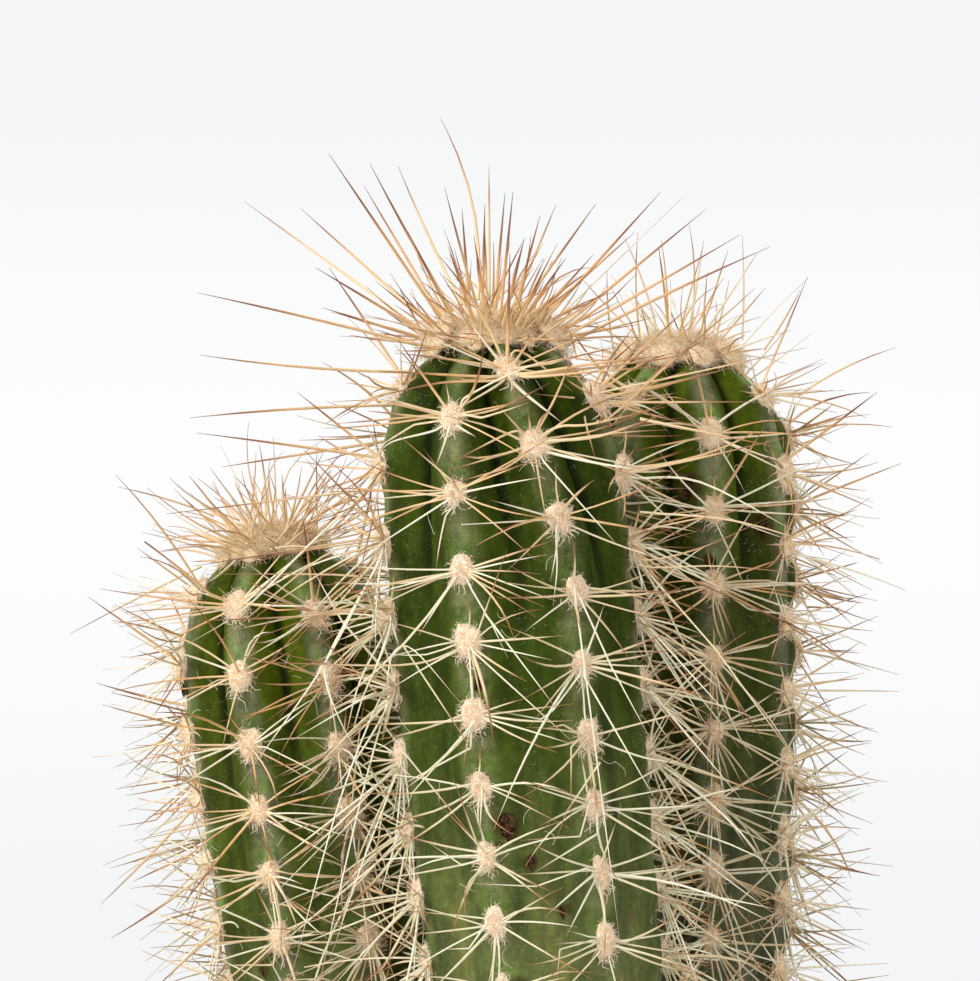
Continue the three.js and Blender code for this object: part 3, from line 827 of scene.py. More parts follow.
class Spines:
    # gathers centre lines as one mesh of edges
    def __init__(self, seed):
        self.dice = random.Random(seed)
        self.points = []
        self.edges = []
        self.facts = {"share": [], "thickness": [], "tone": [], "youth": []}
        self.count = 0

    def path(self, root, tip, sag=0.0, bend=None, kinked=None):
        dice = self.dice
        chord = tip - root
        length = np.linalg.norm(chord)
        across = unit(np.cross(chord, [dice.gauss(0, 1) for _ in range(3)]))
        bend = dice.gauss(0, spineSizes["bend"]) if bend is None else bend
        shares = [0, 0.1, 0.25, 0.42, 0.6, 0.78, 0.92, 1]
        kinkAt = None
        if dice.random() < (spineSizes["kinked"] if kinked is None else kinked):
            kinkAt = dice.uniform(0.12, 0.7)
            shares = sorted(shares + [kinkAt - 0.012, kinkAt + 0.012])
            kink = np.cross(unit(chord), across) * length * dice.uniform(0.4, 1.6) * spineSizes["kinkShare"]
        line = []
        for share in shares:
            point = root + chord * share + across * length * bend * 4 * share * (1 - share)
            point = point - np.array([0, 0, 1]) * length * sag * (share**2 - share * 0.55)
            if kinkAt:
                point = point + kink * min(share / kinkAt, (1 - share) / (1 - kinkAt))
            line.append(point)
        return shares, np.array(line)

    def through(self, corners, curved):
        # a line through these corners, which are sharp or rounded
        corners = np.array(corners, float)
        if curved:
            ends = np.vstack([2 * corners[0] - corners[1], corners, 2 * corners[-1] - corners[-2]])
            line = []
            for before, start, end, after in zip(ends, ends[1:], ends[2:], ends[3:]):
                turning = 2 * before - 5 * start + 4 * end - after
                easing = 3 * start - before - 3 * end + after
                for t in (0, 0.2, 0.4, 0.6, 0.8):
                    pull = turning * t + easing * t * t
                    line.append(start + 0.5 * t * (end - before + pull))
            line = np.array(line + [corners[-1]])
        else:
            line = [corners[0]]
            for start, end in zip(corners, corners[1:]):
                line += [start + (end - start) * t for t in (0.03, 0.35, 0.7, 0.97, 1)]
            line = np.array(line)
        steps = np.linalg.norm(np.diff(line, axis=0), axis=1)
        return list(np.concatenate([[0], np.cumsum(steps)]) / steps.sum()), line

    def isClear(self, line, owner):
        # of the pot, the soil, the other stems and, past its root, its own
        size = spineSizes
        flat = np.hypot(line[:, 0], line[:, 1])
        rise = line[:, 2]
        if flat.max() > potRadius - size["rimRoom"] or rise.min() < soilLevel + size["soilGap"]:
            return False
        if np.any((flat > potRadius - size["wallRoom"]) & (rise < potHeight + size["clearance"])):
            return False
        for stem in stems.values():
            gaps = stem.gaps(line)
            if stem is owner:
                if gaps[3:].min() < size["skinGap"]:
                    return False
            elif gaps.min() < size["clearance"]:
                return False
        return True

    def add(self, shares, line, radius, tone, youth, blunt=False):
        first = len(self.points)
        for share, point in zip(shares, line):
            self.points.append(point * mm)
            taper = max(1 - share**2.6, 0) ** 0.9
            width = max(radius * taper, radius * 0.55 if blunt else spineSizes["tipRadius"])
            if share < 0.03:
                width = width * spineSizes["rootSwell"]
            self.facts["share"].append(share * (0.75 if blunt else 1))
            self.facts["thickness"].append(width * mm)
            self.facts["tone"].append(tone)
            self.facts["youth"].append(youth)
        self.edges += [(first + k, first + k + 1) for k in range(len(shares) - 1)]
        self.count += 1


def makeSpineTree():
    tree, graph = newTree("spines", {}, {"Sides": 5})
    given = graph.given
    line = graph.add("GeometryNodeMeshToCurve", {0: given["Geometry"]}).outputs[0]
    ring = {"Resolution": given["Sides"], "Radius": 1.0}
    ring = graph.add("GeometryNodeCurvePrimitiveCircle", ring).outputs[0]
    sweep = {"Curve": line, "Profile Curve": ring, "Scale": graph.field("thickness"), "Fill Caps": True}
    graph.finish(graph.add("GeometryNodeCurveToMesh", sweep).outputs[0])
    return tree


spineTree = makeSpineTree()


def placeSpines(name, spines, node):
    host = hostMesh("spine lines", spines.points, spines.edges, facts=spines.facts)
    values = {"Sides": spineSizes["sides"], "Material": spineMaterial}
    placed(name, grown(name, host, spineTree, values), node)
    print(spines.count, "spines in it")


def headingOf(areole, turn, lift):
    turn, lift = math.radians(turn), math.radians(lift)
    flat = areole["across"] * math.cos(turn) + areole["up"] * math.sin(turn)
    return flat * math.cos(lift) + areole["out"] * math.sin(lift)


def turnFrom(areole, heading):
    return math.degrees(math.atan2(heading @ areole["up"], heading @ areole["across"]))


def turnsApart(one, other):
    return abs((one - other + 180) % 360 - 180)


def growSpines(stem):
    spines = Spines(stem.seed)
    dice = spines.dice
    size = spineSizes

    def tryGrow(areole, turn, lift, length, radius, tone, youth, sag=0.0):
        for step in range(size["tries"]):
            heading = headingOf(areole, turn, min(lift + size["liftStep"] * step, size["steepest"]))
            beside = math.cos(math.radians(turn)) * dice.uniform(0.4, 1.1)
            above = math.sin(math.radians(turn)) * 0.9 + dice.gauss(0, 0.4)
            start = areole["skin"] + areole["out"] * 0.4
            start = start + areole["across"] * beside + areole["up"] * above
            shares, line = spines.path(start, start + heading * length * size["shrink"] ** step, sag)
            if spines.isClear(line, stem):
                spines.add(shares, line, radius, tone, youth, dice.random() < size["bluntShare"])
                return

    def fromCad(areole, needles, youth):
        # CAD needles, a little bent; hands back which ways the short ones go
        taken = []
        for root, tip in needles:
            heading = unit(tip - root)
            long = np.linalg.norm(tip - root) > size["longFrom"]
            radius = size["sideRadius"] * 1.1
            if long:
                radius = size["longRadius"] * (1 - 0.2 * smooth(areole["drop"], 30, 80))
            shares, line = spines.path(root - heading * 0.4, tip, bend=dice.gauss(0, 0.015), kinked=0.05)
            tone = (dice.uniform(0.3, 1) if long else dice.uniform(0, 0.7)) * stem.toneShare
            spines.add(shares, line, radius, tone, youth)
            if not long:
                taken.append(turnFrom(areole, heading))
        return taken

    def growFans(areole, taken, youth):
        for side, mirrored in ((0, 1), (180, -1)):
            fan = [side + turn * mirrored for turn in size["sideTurns"]]
            near = [turn for turn in taken if turnsApart(turn, side) < 60]
            if near:
                fan.remove(min(fan, key=lambda turn: turnsApart(turn, near[0])))
            for turn in fan:
                if dice.random() < size["missing"]:
                    continue
                length = dice.uniform(*size["sideLength"]) + 2.5 * youth * dice.random()
                tone = dice.uniform(0, 0.8) * stem.toneShare
                radius = size["sideRadius"] * dice.uniform(0.72, 1.15)
                turn = turn + dice.gauss(0, 5)
                tryGrow(areole, turn, dice.uniform(*size["sideLift"]), length, radius, tone, youth)
            for _ in range(int(stem.extraSpines * 4 + dice.random())):
                turn = side + dice.uniform(-42, 42)
                length = dice.uniform(*size["extraLength"])
                tone = dice.uniform(0, 0.6) * stem.toneShare
                lift = dice.uniform(*size["extraLift"])
                tryGrow(areole, turn, lift, length, size["sideRadius"], tone, youth * 0.7)

    def growShort(areole, youth):
        for low, high, count, shortest, longest in size["shortTurns"]:
            for _ in range(int(count + dice.random())):
                length = dice.uniform(shortest, longest)
                radius = size["sideRadius"] * dice.uniform(0.75, 1.05)
                turn = dice.uniform(low, high)
                lift = dice.uniform(*size["shortLift"])
                tryGrow(areole, turn, lift, length, radius, dice.random(), youth)

    def growFront(areole, youth):
        radius = size["longRadius"] * dice.uniform(0.75, 1.02)
        turns = size["frontTurns"][0 if areole["drop"] < 30 else 1]
        length = dice.uniform(*size["frontLength"]) + 4 * youth * dice.random()
        turn = dice.uniform(*turns)
        lift = dice.uniform(*size["frontLift"])
        tryGrow(areole, turn, lift, length, radius, dice.uniform(0.2, 1), youth)

    def growElbow(areole, youth):
        # leaves the lower end of the areole downward, then turns sharply aside
        start = areole["skin"] + areole["out"] * 0.8
        turn = dice.uniform(250, 290)
        bend = start + headingOf(areole, turn, dice.uniform(8, 30)) * dice.uniform(3, 5)
        onward = dice.choice((dice.uniform(-25, 20), dice.uniform(160, 205)))
        tip = bend + headingOf(areole, onward, dice.uniform(2, 22)) * dice.uniform(8, 14)
        shares, line = spines.through([start, bend, tip], False)
        if spines.isClear(line, stem):
            spines.add(shares, line, size["sideRadius"], dice.uniform(0, 0.6), youth)

    def growTangle(areole):
        warm = 0.1 + max(stem.warmth, 0)
        for _ in range(size["tangle"]):
            turn = dice.choice((dice.gauss(270, 30), dice.uniform(0, 360)))
            length = dice.uniform(*size["tangleLength"])
            tone = dice.uniform(0, 0.45)
            lift = dice.uniform(*size["tangleLift"])
            tryGrow(areole, turn, lift, length, size["sideRadius"], tone, warm, size["sag"])

    def growHanging(areole):
        for _ in range(2):
            turn = dice.uniform(*size["hangingTurn"])
            lift = dice.uniform(*size["hangingLift"])
            length = dice.uniform(*size["hangingLength"])
            tryGrow(areole, turn, lift, length, size["sideRadius"] * 0.85, 0.05, 0, size["sag"])

    def growPalest(areole):
        turn = dice.choice([dice.uniform(*turns) for turns in size["palestTurns"]])
        lift = dice.uniform(*size["palestLift"])
        length = dice.uniform(*size["palestLength"])
        tryGrow(areole, turn, lift, length, size["longRadius"] * 0.8, dice.uniform(0, 0.3), 0.1, 0.05)

    def growLint():
        areole = dice.choice(stem.areoles)
        across, down = dice.gauss(0, 3.2), dice.gauss(-2, 4)
        point = areole["skin"] + areole["across"] * across + areole["up"] * down
        middle, up = stem.at(float(np.clip(areole["drop"] - down, 3, stem.length - 4)))[:2]
        away = point - middle
        away = unit(away - up * (away @ up))
        point = middle + away * (stem.crest(areole["drop"] - down) + dice.uniform(-0.4, 0.5))
        turn = dice.uniform(0, 2 * math.pi)
        heading = np.cross(away, up) * math.cos(turn) + up * math.sin(turn) + away * dice.uniform(-0.2, 0.5)
        tip = point + unit(heading) * dice.uniform(*size["lintLength"])
        shares, line = spines.path(point, tip, bend=dice.gauss(0, 0.25))
        spines.add(shares, line, size["lintRadius"], 0, 0)

    cad = [[] for _ in stem.areoles]
    beds = np.array([areole["skin"] for areole in stem.areoles])
    for root, tip in needlesOf(stem.name + "_stem"):
        cad[int(np.argmin(np.linalg.norm(beds - root, axis=1)))].append((root, tip))
    for areole, needles in zip(stem.areoles, cad):
        drop = areole["drop"]
        youth = 1 - smooth(drop, *size["ageing"]) + stem.warmth + dice.gauss(0, 0.12)
        youth = float(np.clip(youth, 0, 1))
        growFans(areole, fromCad(areole, needles, youth), youth)
        growShort(areole, youth)
        if len(needles) < 3 or dice.random() < 0.3:
            growFront(areole, youth)
        if drop > 30 and dice.random() < size["elbows"]:
            growElbow(areole, youth * 0.6)
        if drop > 24 and areole["rib"] in stem.tangled:
            growTangle(areole)
        if drop > 45 and dice.random() < size["hanging"]:
            growHanging(areole)
        if drop > 20 and dice.random() < size["longShare"]:
            growPalest(areole)
    for _ in range(size["lint"]):
        growLint()
    return spines


cameraPlace = np.array([0, -588.67, 229])
mainPlane = 571.67  # from the camera to the main stem's axis
pixelSize = 0.14  # millimetres on that plane
photoMiddle = (490, 490.5)
rootReach = 26  # pixels; a line that starts nearer than this to an areole grows from it


def inView(across, down, depth):
    # the point that the photo shows at these pixels, depth millimetres behind the main stem's axis
    away = mainPlane + depth
    scale = pixelSize * away / mainPlane
    across, down = across - photoMiddle[0], photoMiddle[1] - down
    return cameraPlace + np.array([across * scale, away, down * scale])


def asSeen(point):
    # where a point is in the photo, in pixels from its middle
    scale = pixelSize * (point[1] - cameraPlace[1]) / mainPlane
    return np.array([point[0], point[2] - cameraPlace[2]]) / scale


def rooted(stem, corners, near, far):
    # a line told by pixels and the depths of its ends, which starts in the areole beside its first point
    depths = np.linspace(near, far, len(corners))
    line = [inView(*corner, depth) for corner, depth in zip(corners, depths)]
    first = asSeen(line[0])
    front = [areole for areole in stem.areoles if areole["out"][1] < 0.2]
    apart = [np.linalg.norm(asSeen(areole["skin"]) - first) for areole in front]
    if min(apart) < rootReach:
        nearest = front[apart.index(min(apart))]
        return [nearest["skin"] + nearest["out"] * 0.3] + line
    return line


# long, bent and hooked spines of the main stem, placed as they are seen:
# corners, depths at both ends, tone, and whether the corners are rounded
strayLines = [
    ([(544, 462), (618, 546)], -18, -22, 0.05, False),
    ([(472, 590), (492, 624), (508, 658)], -19, -20, 0.05, False),
    ([(482, 574), (556, 601)], -19, -22, 0.1, False),
    ([(556, 532), (557, 568), (553, 606)], -18, -20, 0.05, True),
    ([(634, 556), (716, 650), (832, 810)], -8, -22, 0.35, False),
    ([(580, 598), (612, 668), (652, 742)], -18, -22, 0.05, False),
    ([(484, 612), (556, 708)], -19, -23, 0.05, False),
    ([(576, 602), (602, 800), (620, 944)], -18, -21, 0.05, True),
    ([(584, 676), (658, 804)], -18, -23, 0.05, False),
    ([(640, 618), (740, 728)], -9, -20, 0.1, False),
    ([(650, 690), (742, 800)], -9, -19, 0.1, False),
    ([(388, 682), (394, 652), (414, 650), (460, 702)], -12, -20, 0.1, True),
    ([(590, 800), (580, 836), (520, 840)], -18, -20, 0.2, False),
    ([(586, 868), (536, 886), (468, 883)], -18, -20, 0.15, False),
    ([(486, 924), (469, 948), (440, 949)], -19, -20, 0.1, False),
    ([(484, 858), (462, 865), (430, 843)], -19, -20, 0.1, False),
    ([(592, 940), (560, 949), (556, 985)], -18, -20, 0.2, False),
    ([(404, 752), (480, 846)], -10, -21, 0.6, False),
    ([(600, 762), (566, 812), (556, 840)], -19, -21, 0.7, False),
    ([(384, 690), (340, 800), (290, 981)], -8, -14, 0.05, True),
    ([(388, 700), (356, 820), (318, 990)], -6, -12, 0.05, True),
    ([(398, 770), (360, 870), (330, 960)], -8, -13, 0.1, True),
    ([(403, 645), (482, 765)], -12, -22, 0.85, False),
    ([(477, 843), (453, 777)], -19, -22, 0.8, False),
    ([(479, 845), (438, 802)], -19, -21, 0.8, False),
    ([(474, 652), (573, 742)], -19, -22, 0.05, False),
    ([(580, 674), (553, 710), (541, 719), (492, 710)], -18, -20, 0.1, False),
    ([(474, 722), (412, 793), (404, 818)], -19, -19, 0.1, False),
    ([(579, 738), (571, 747), (571, 823)], -18, -21, 0.85, False),
    ([(475, 640), (507, 549)], -19, -24, 0.9, False),
    ([(451, 480), (395, 432)], -18, -21, 0.8, False),
    ([(458, 571), (360, 597)], -19, -20, 0.1, False),
    ([(451, 498), (360, 557)], -18, -20, 0.1, False),
    ([(450, 492), (344, 502)], -18, -21, 0.4, False),
    ([(470, 660), (472, 709)], -19, -20, 0.05, False),
    ([(482, 790), (480, 832)], -19, -20, 0.05, False),
]

# spines that cross the top of the main stem: corners, depths at both ends, tone, youth, radius
topLines = [
    ([(503, 377), (378, 371)], -14, -17, 0.5, 0.9, 0.24),
    ([(500, 380), (440, 383), (376, 397)], -14, -17, 0.85, 0.9, 0.2),
    ([(498, 366), (430, 333)], -13.5, -15, 0.5, 0.9, 0.2),
    ([(507, 368), (510, 253)], -13, -17, 1.0, 1, 0.28),
    ([(500, 362), (466, 318)], -13, -13, 0.15, 0.9, 0.2),
    ([(515, 362), (542, 322)], -13, -11, 0.3, 0.9, 0.2),
    ([(524, 374), (600, 363), (664, 356)], -14, -20, 0.4, 0.8, 0.24),
    ([(524, 377), (590, 372), (668, 366)], -14, -19, 0.35, 0.7, 0.22),
    ([(520, 368), (560, 360), (618, 347)], -14, -17, 0.75, 0.9, 0.18),
    ([(524, 375), (640, 362), (702, 352)], -14, -21, 0.6, 0.8, 0.2),
    ([(520, 351), (573, 392)], -12, -14, 0.3, 0.7, 0.18),
    ([(502, 382), (452, 412)], -14, -17, 0.2, 0.7, 0.2),
    ([(516, 386), (562, 423)], -15, -17, 0.05, 0.3, 0.26),
    ([(444, 405), (398, 340)], -15, -18, 0.6, 0.9, 0.22),
    ([(450, 404), (446, 382)], -15, -16, 0.2, 0.6, 0.14),
    ([(436, 412), (380, 399)], -15, -17, 0.25, 0.6, 0.2),
    ([(434, 418), (368, 411)], -15, -18, 0.6, 0.6, 0.2),
    ([(436, 430), (392, 442), (376, 458)], -15, -17, 0.1, 0.4, 0.18),
    ([(462, 416), (500, 408), (550, 383)], -16, -20, 0.85, 0.6, 0.18),
    ([(458, 426), (476, 437)], -16, -17.5, 0.05, 0.3, 0.22),
    ([(522, 438), (512, 432), (452, 462)], -17, -20, 0.55, 0.5, 0.18),
    ([(521, 449), (450, 470)], -17, -20, 0.3, 0.5, 0.18),
    ([(523, 433), (494, 401)], -17, -19, 0.5, 0.6, 0.15),
    ([(531, 433), (528, 410)], -17, -18, 0.4, 0.7, 0.18),
    ([(536, 432), (541, 419), (551, 408)], -17, -19, 0.5, 0.7, 0.18),
    ([(546, 433), (562, 426), (592, 424), (664, 407)], -17, -22, 0.5, 0.6, 0.2),
    ([(548, 441), (600, 436), (664, 414)], -17, -22, 0.4, 0.5, 0.24),
    ([(548, 452), (596, 463), (646, 471)], -17, -22, 0.1, 0.3, 0.22),
    ([(576, 398), (534, 394)], -9, -17, 0.75, 0.7, 0.16),
    ([(596, 399), (680, 381), (738, 366)], -8, -16, 0.7, 0.8, 0.24),
    ([(602, 422), (660, 372), (722, 317)], -9, -16, 0.45, 0.8, 0.2),
    ([(584, 412), (597, 466)], -9, -14, 0.6, 0.5, 0.16),
    ([(592, 390), (606, 365), (632, 329)], -8, -12, 0.95, 1, 0.18),
    ([(577, 360), (570, 332)], -9, -10, 0.95, 1, 0.16),
    ([(612, 402), (752, 402)], -8, -14, 0.5, 0.7, 0.2),
    ([(640, 419), (776, 447)], -10, -15, 0.5, 0.6, 0.2),
    ([(626, 473), (700, 458), (784, 438)], -12, -22, 0.5, 0.5, 0.2),
    ([(414, 366), (427, 330)], -8, -10, 0.95, 1, 0.18),
    ([(500, 343), (430, 333)], -12, -13, 0.95, 1, 0.16),
    ([(426, 340), (400, 290)], -5, -8, 0.95, 1, 0.18),
    ([(417, 373), (395, 345)], -10, -13, 0.9, 1, 0.16),
    ([(524, 339), (592, 341)], -11, -12, 0.9, 1, 0.14),
]

# spines of the main stem that cross in front of the other two, told in the same way
crossingLines = [
    ([(378, 480), (353, 504), (306, 548), (244, 609), (181, 648)], -7, -18, 0.12, 0.5, 0.19),
    ([(374, 545), (322, 557), (217, 645)], -8, -14, 0.25, 0.5, 0.14),
    ([(381, 556), (361, 596), (322, 668), (272, 740), (240, 785)], -8, -18, 0.1, 0.3, 0.17),
    (
        [(380, 560), (358, 600), (333, 646), (325, 668), (329, 692), (346, 732), (370, 768)],
        *(-9, -17, 0.05, 0.2, 0.17),
    ),
    ([(384, 634), (370, 660), (357, 690), (345, 740)], -8, -14, 0.05, 0.2, 0.16),
    ([(386, 640), (374, 672), (362, 700), (349, 745)], -9, -13, 0.15, 0.3, 0.15),
    ([(378, 694), (366, 697), (292, 740)], -9, -17, 0.12, 0.4, 0.17),
    ([(370, 488), (352, 507), (300, 527)], -8, -14, 0.95, 0.7, 0.13),
    ([(364, 490), (166, 514)], -8, -18, 0.75, 0.7, 0.15),
    ([(376, 528), (361, 509), (304, 450)], -9, -17, 0.95, 0.8, 0.18),
    ([(380, 530), (360, 491), (328, 459)], -9, -15, 0.9, 0.8, 0.15),
    ([(372, 538), (283, 552), (194, 566)], -8, -20, 1.0, 0.8, 0.17),
    ([(372, 541), (275, 556), (240, 573)], -8, -15, 0.9, 0.7, 0.13),
    ([(376, 594), (355, 576), (206, 574)], -8, -15, 0.5, 0.6, 0.14),
    ([(380, 607), (306, 616), (186, 621)], -8, -18, 0.8, 0.6, 0.17),
    ([(372, 600), (328, 612), (251, 640)], -8, -16, 0.8, 0.6, 0.14),
    ([(376, 608), (330, 612), (305, 626), (253, 680)], -8, -16, 0.75, 0.6, 0.15),
    ([(376, 606), (350, 588), (328, 572)], -9, -14, 0.95, 0.8, 0.17),
    ([(378, 680), (342, 667), (264, 650)], -9, -16, 0.85, 0.7, 0.15),
    ([(452, 652), (400, 665), (253, 662)], -18, -26, 0.55, 0.4, 0.15),
    ([(384, 698), (342, 657), (303, 626)], -9, -15, 0.85, 0.6, 0.13),
    ([(376, 676), (328, 680), (260, 726)], -9, -16, 0.85, 0.6, 0.15),
    ([(380, 478), (372, 523), (357, 584)], -9, -13, 0.95, 0.7, 0.16),
    ([(604, 392), (702, 371), (805, 348)], -9, -18, 0.35, 0.6, 0.15),
    ([(636, 478), (700, 482), (800, 534)], -10, -18, 0.15, 0.4, 0.18),
    ([(640, 512), (740, 522), (853, 557)], -10, -20, 0.45, 0.4, 0.15),
    ([(638, 532), (720, 514), (802, 497)], -10, -18, 0.75, 0.6, 0.14),
    ([(642, 566), (720, 566), (808, 574)], -10, -18, 0.5, 0.4, 0.14),
    ([(642, 560), (700, 548), (776, 514)], -10, -17, 0.85, 0.6, 0.14),
]

for name, stem in stems.items():
    spines = growSpines(stem)
    if name == "main":
        for corners, near, far, tone, curved in strayLines:
            shares, line = spines.through(rooted(stem, corners, near, far), curved)
            spines.add(shares, line, spineSizes["strayRadius"], tone, 0.1)
        for corners, near, far, tone, youth, radius in topLines + crossingLines:
            shares, line = spines.through(rooted(stem, corners, near, far), True)
            spines.add(shares, line, radius, tone, youth)
    placeSpines(name + "_spines", spines, name + "_stem")

woolSizes = {
    "areoleWide": 1.74,
    "areoleHigh": 2.15,
    "areoleProud": 1.35,
    "fibreLength": 0.82,
    "fibreRadius": 0.038,
    "fibresEach": 145,
    "hang": 0.3,  # how much the fibres droop, most at the lower end
    "beard": 1.2,  # how much longer they are there
}


def makeWoolTree():
    floats = {"Fibre length": 1.5 * mm, "Fibre radius": 0.05 * mm, "Density": 1.0e6}
    floats |= {"Hang": 0.3, "Beard": 0.8, "Honey": 0.0}
    tree, graph = newTree("wool", floats, {"Seed": 1})
    given = graph.given
    calc = graph.math
    scatter = {"Mesh": given["Geometry"], "Density": given["Density"], "Seed": given["Seed"]}
    scatter |= {"Selection": calc("GREATER_THAN", graph.field("covered"), 0.9)}
    roots = graph.add("GeometryNodeDistributePointsOnFaces", scatter).outputs

    # one fibre, one long, which gets slimmer towards its tip
    arc = {"Start": (0, 0, 0), "Middle": (0.6, 0.1, 0.5), "End": (0, 0.5, 0.9), "Resolution": 4}
    arc = graph.add("GeometryNodeCurveQuadraticBezier", arc).outputs[0]
    arc = graph.add("GeometryNodeResampleCurve", {"Curve": arc, "Count": 3}, mode="COUNT").outputs[0]
    along = graph.add("GeometryNodeSplineParameter").outputs["Factor"]
    slim = calc("DIVIDE", given["Fibre radius"], given["Fibre length"])
    slim = graph.product(slim, graph.span(along, 0.4, 1.0, 1.0, 0.35))
    ring = graph.add("GeometryNodeCurvePrimitiveCircle", {"Resolution": 3, "Radius": 1.0}).outputs[0]
    sweep = {"Curve": arc, "Profile Curve": ring, "Scale": slim, "Fill Caps": True}
    fibre = graph.add("GeometryNodeCurveToMesh", sweep).outputs[0]

    # each leans its own way and hangs
    low = graph.field("low")
    stray = graph.scaled(graph.chance((-1, -1, -1), (1, 1, 1), given["Seed"]), 1.1)
    hang = graph.scaled((0, 0, -1), graph.product(given["Hang"], calc("MULTIPLY_ADD", low, 1.6, 0.3)))
    lean = graph.total(roots["Normal"], stray, hang)
    aim = {"Rotation": (0, 0, 0), "Vector": lean}
    aim = graph.add("FunctionNodeAlignRotationToVector", aim, axis="Z").outputs[0]
    spin = {"Axis": (0, 0, 1), "Angle": graph.chance(0.0, 2 * math.pi, 5)}
    spin = graph.add("FunctionNodeAxisAngleToRotation", spin).outputs[0]
    turned = {"Rotation": aim, "Rotate By": spin}
    turned = graph.add("FunctionNodeRotateRotation", turned, rotation_space="LOCAL").outputs[0]
    longer = calc("MULTIPLY_ADD", low, given["Beard"], 1)
    long = graph.product(graph.chance(0.55, 1.25, 9), longer, given["Fibre length"])
    place = {"Points": roots["Points"], "Instance": fibre, "Rotation": turned, "Scale": long}
    fibres = graph.add("GeometryNodeInstanceOnPoints", place).outputs[0]
    fibres = graph.add("GeometryNodeRealizeInstances", {0: fibres}).outputs[0]
    fibres = graph.marked(fibres, "POINT", {"fibre": 1.0, "honey": given["Honey"]})
    graph.finish(graph.joined(fibres, given["Geometry"]))
    return tree


woolTree = makeWoolTree()


def ringFaces(sides, rings):
    # the faces between rings of points, whose ends the first and the last point close
    def at(ring, side):
        return 1 + ring * sides + side % sides

    last = 1 + rings * sides
    faces = []
    for side in range(sides):
        faces.append((0, at(0, side), at(0, side + 1)))
        for ring in range(rings - 1):
            faces.append((at(ring, side), at(ring + 1, side), at(ring + 1, side + 1), at(ring, side + 1)))
        faces.append((last, at(rings - 1, side + 1), at(rings - 1, side)))
    return faces


def domeOf(centre, out, right, up, wide, high, proud, sides, rings, lobes, phase, lumps=0.12):
    # a closed pad; its underside is a little sunk below its centre
    points = [centre + out * proud]
    facts = [(1.0, 0.0, 1.0)]  # centre, low and covered
    for ring in range(1, rings + 1):
        rise = math.pi / 2 * (1 - ring / rings)
        for side in range(sides):
            turn = 2 * math.pi * side / sides
            reach = math.cos(rise) * (1 + lobes * math.cos(turn * 5 + phase))
            spot = Vector(centre * 0.9) + Vector((math.cos(turn), math.sin(turn), phase)) * 1.1
            lump = 1 + lumps * noise.noise(spot + Vector((0, 0, ring * 0.3)))
            flat = right * wide * math.cos(turn) + up * high * math.sin(turn)
            points.append(centre + flat * reach * lump + out * proud * math.sin(rise) * lump)
            facts.append((1 - ring / rings, max(-math.sin(turn), 0) * ring / rings, 1.0))
    points.append(centre - out * 0.8)
    facts.append((0.0, 0.0, 0.0))
    return points, ringFaces(sides, rings), facts


def padsMesh(name, pads, honey=0.0):
    points, faces, marks = [], [], []
    for padPoints, padFaces, padMarks in pads:
        first = len(points)
        points += [point * mm for point in padPoints]
        faces += [tuple(first + corner for corner in face) for face in padFaces]
        marks += padMarks
    facts = dict(zip(("centre", "low", "covered"), zip(*marks)))
    facts |= {"fibre": [0.0] * len(points), "honey": [honey] * len(points)}
    return hostMesh(name, points, faces=faces, facts=facts)


def woollyArea(mesh):
    covered = [mark.value for mark in mesh.attributes["covered"].data]
    return sum(face.area for face in mesh.polygons if all(covered[corner] for corner in face.vertices))


def growWool(name, node, pads, count, fibre, seed, honey):
    # fibre gives the length, hang and beard of the fibres
    host = padsMesh(name, pads, honey)
    values = {"Density": count / woollyArea(host), "Fibre radius": woolSizes["fibreRadius"] * mm}
    values |= {"Fibre length": fibre[0] * mm, "Hang": fibre[1], "Beard": fibre[2]}
    values |= {"Seed": seed, "Honey": honey, "Material": wool}
    placed(name, grown(name, host, woolTree, values), node)


def areolePads(areoles, dice):
    # the pads get narrower, higher and flatter with age
    size = woolSizes
    pads = []
    for areole in areoles:
        scale = dice.uniform(0.88, 1.1)
        aged = smooth(areole["drop"], 20, 110)
        axes = (areole["skin"] - areole["out"] * 0.1, areole["out"], areole["across"], areole["up"])
        wide = size["areoleWide"] * scale * (1.1 - 0.25 * aged)
        high = size["areoleHigh"] * scale * (1.06 + 0.2 * aged)
        proud = size["areoleProud"] * scale * (1.05 - 0.15 * aged)
        pads.append(domeOf(*axes, wide, high, proud, 12, 5, 0.05, dice.uniform(0, 6), 0.3))
    return pads


for name, stem in stems.items():
    dice = random.Random(stem.seed)
    fibre = (woolSizes["fibreLength"], woolSizes["hang"], woolSizes["beard"])
    half = len(stem.areoles) // 2
    for part, areoles in (("upper", stem.areoles[:half]), ("lower", stem.areoles[half:])):
        pads = areolePads(areoles, dice)
        count = woolSizes["fibresEach"] * len(pads)
        growWool(f"{name}_{part}_wool", name + "_stem", pads, count, fibre, stem.seed, stem.woolHoney)

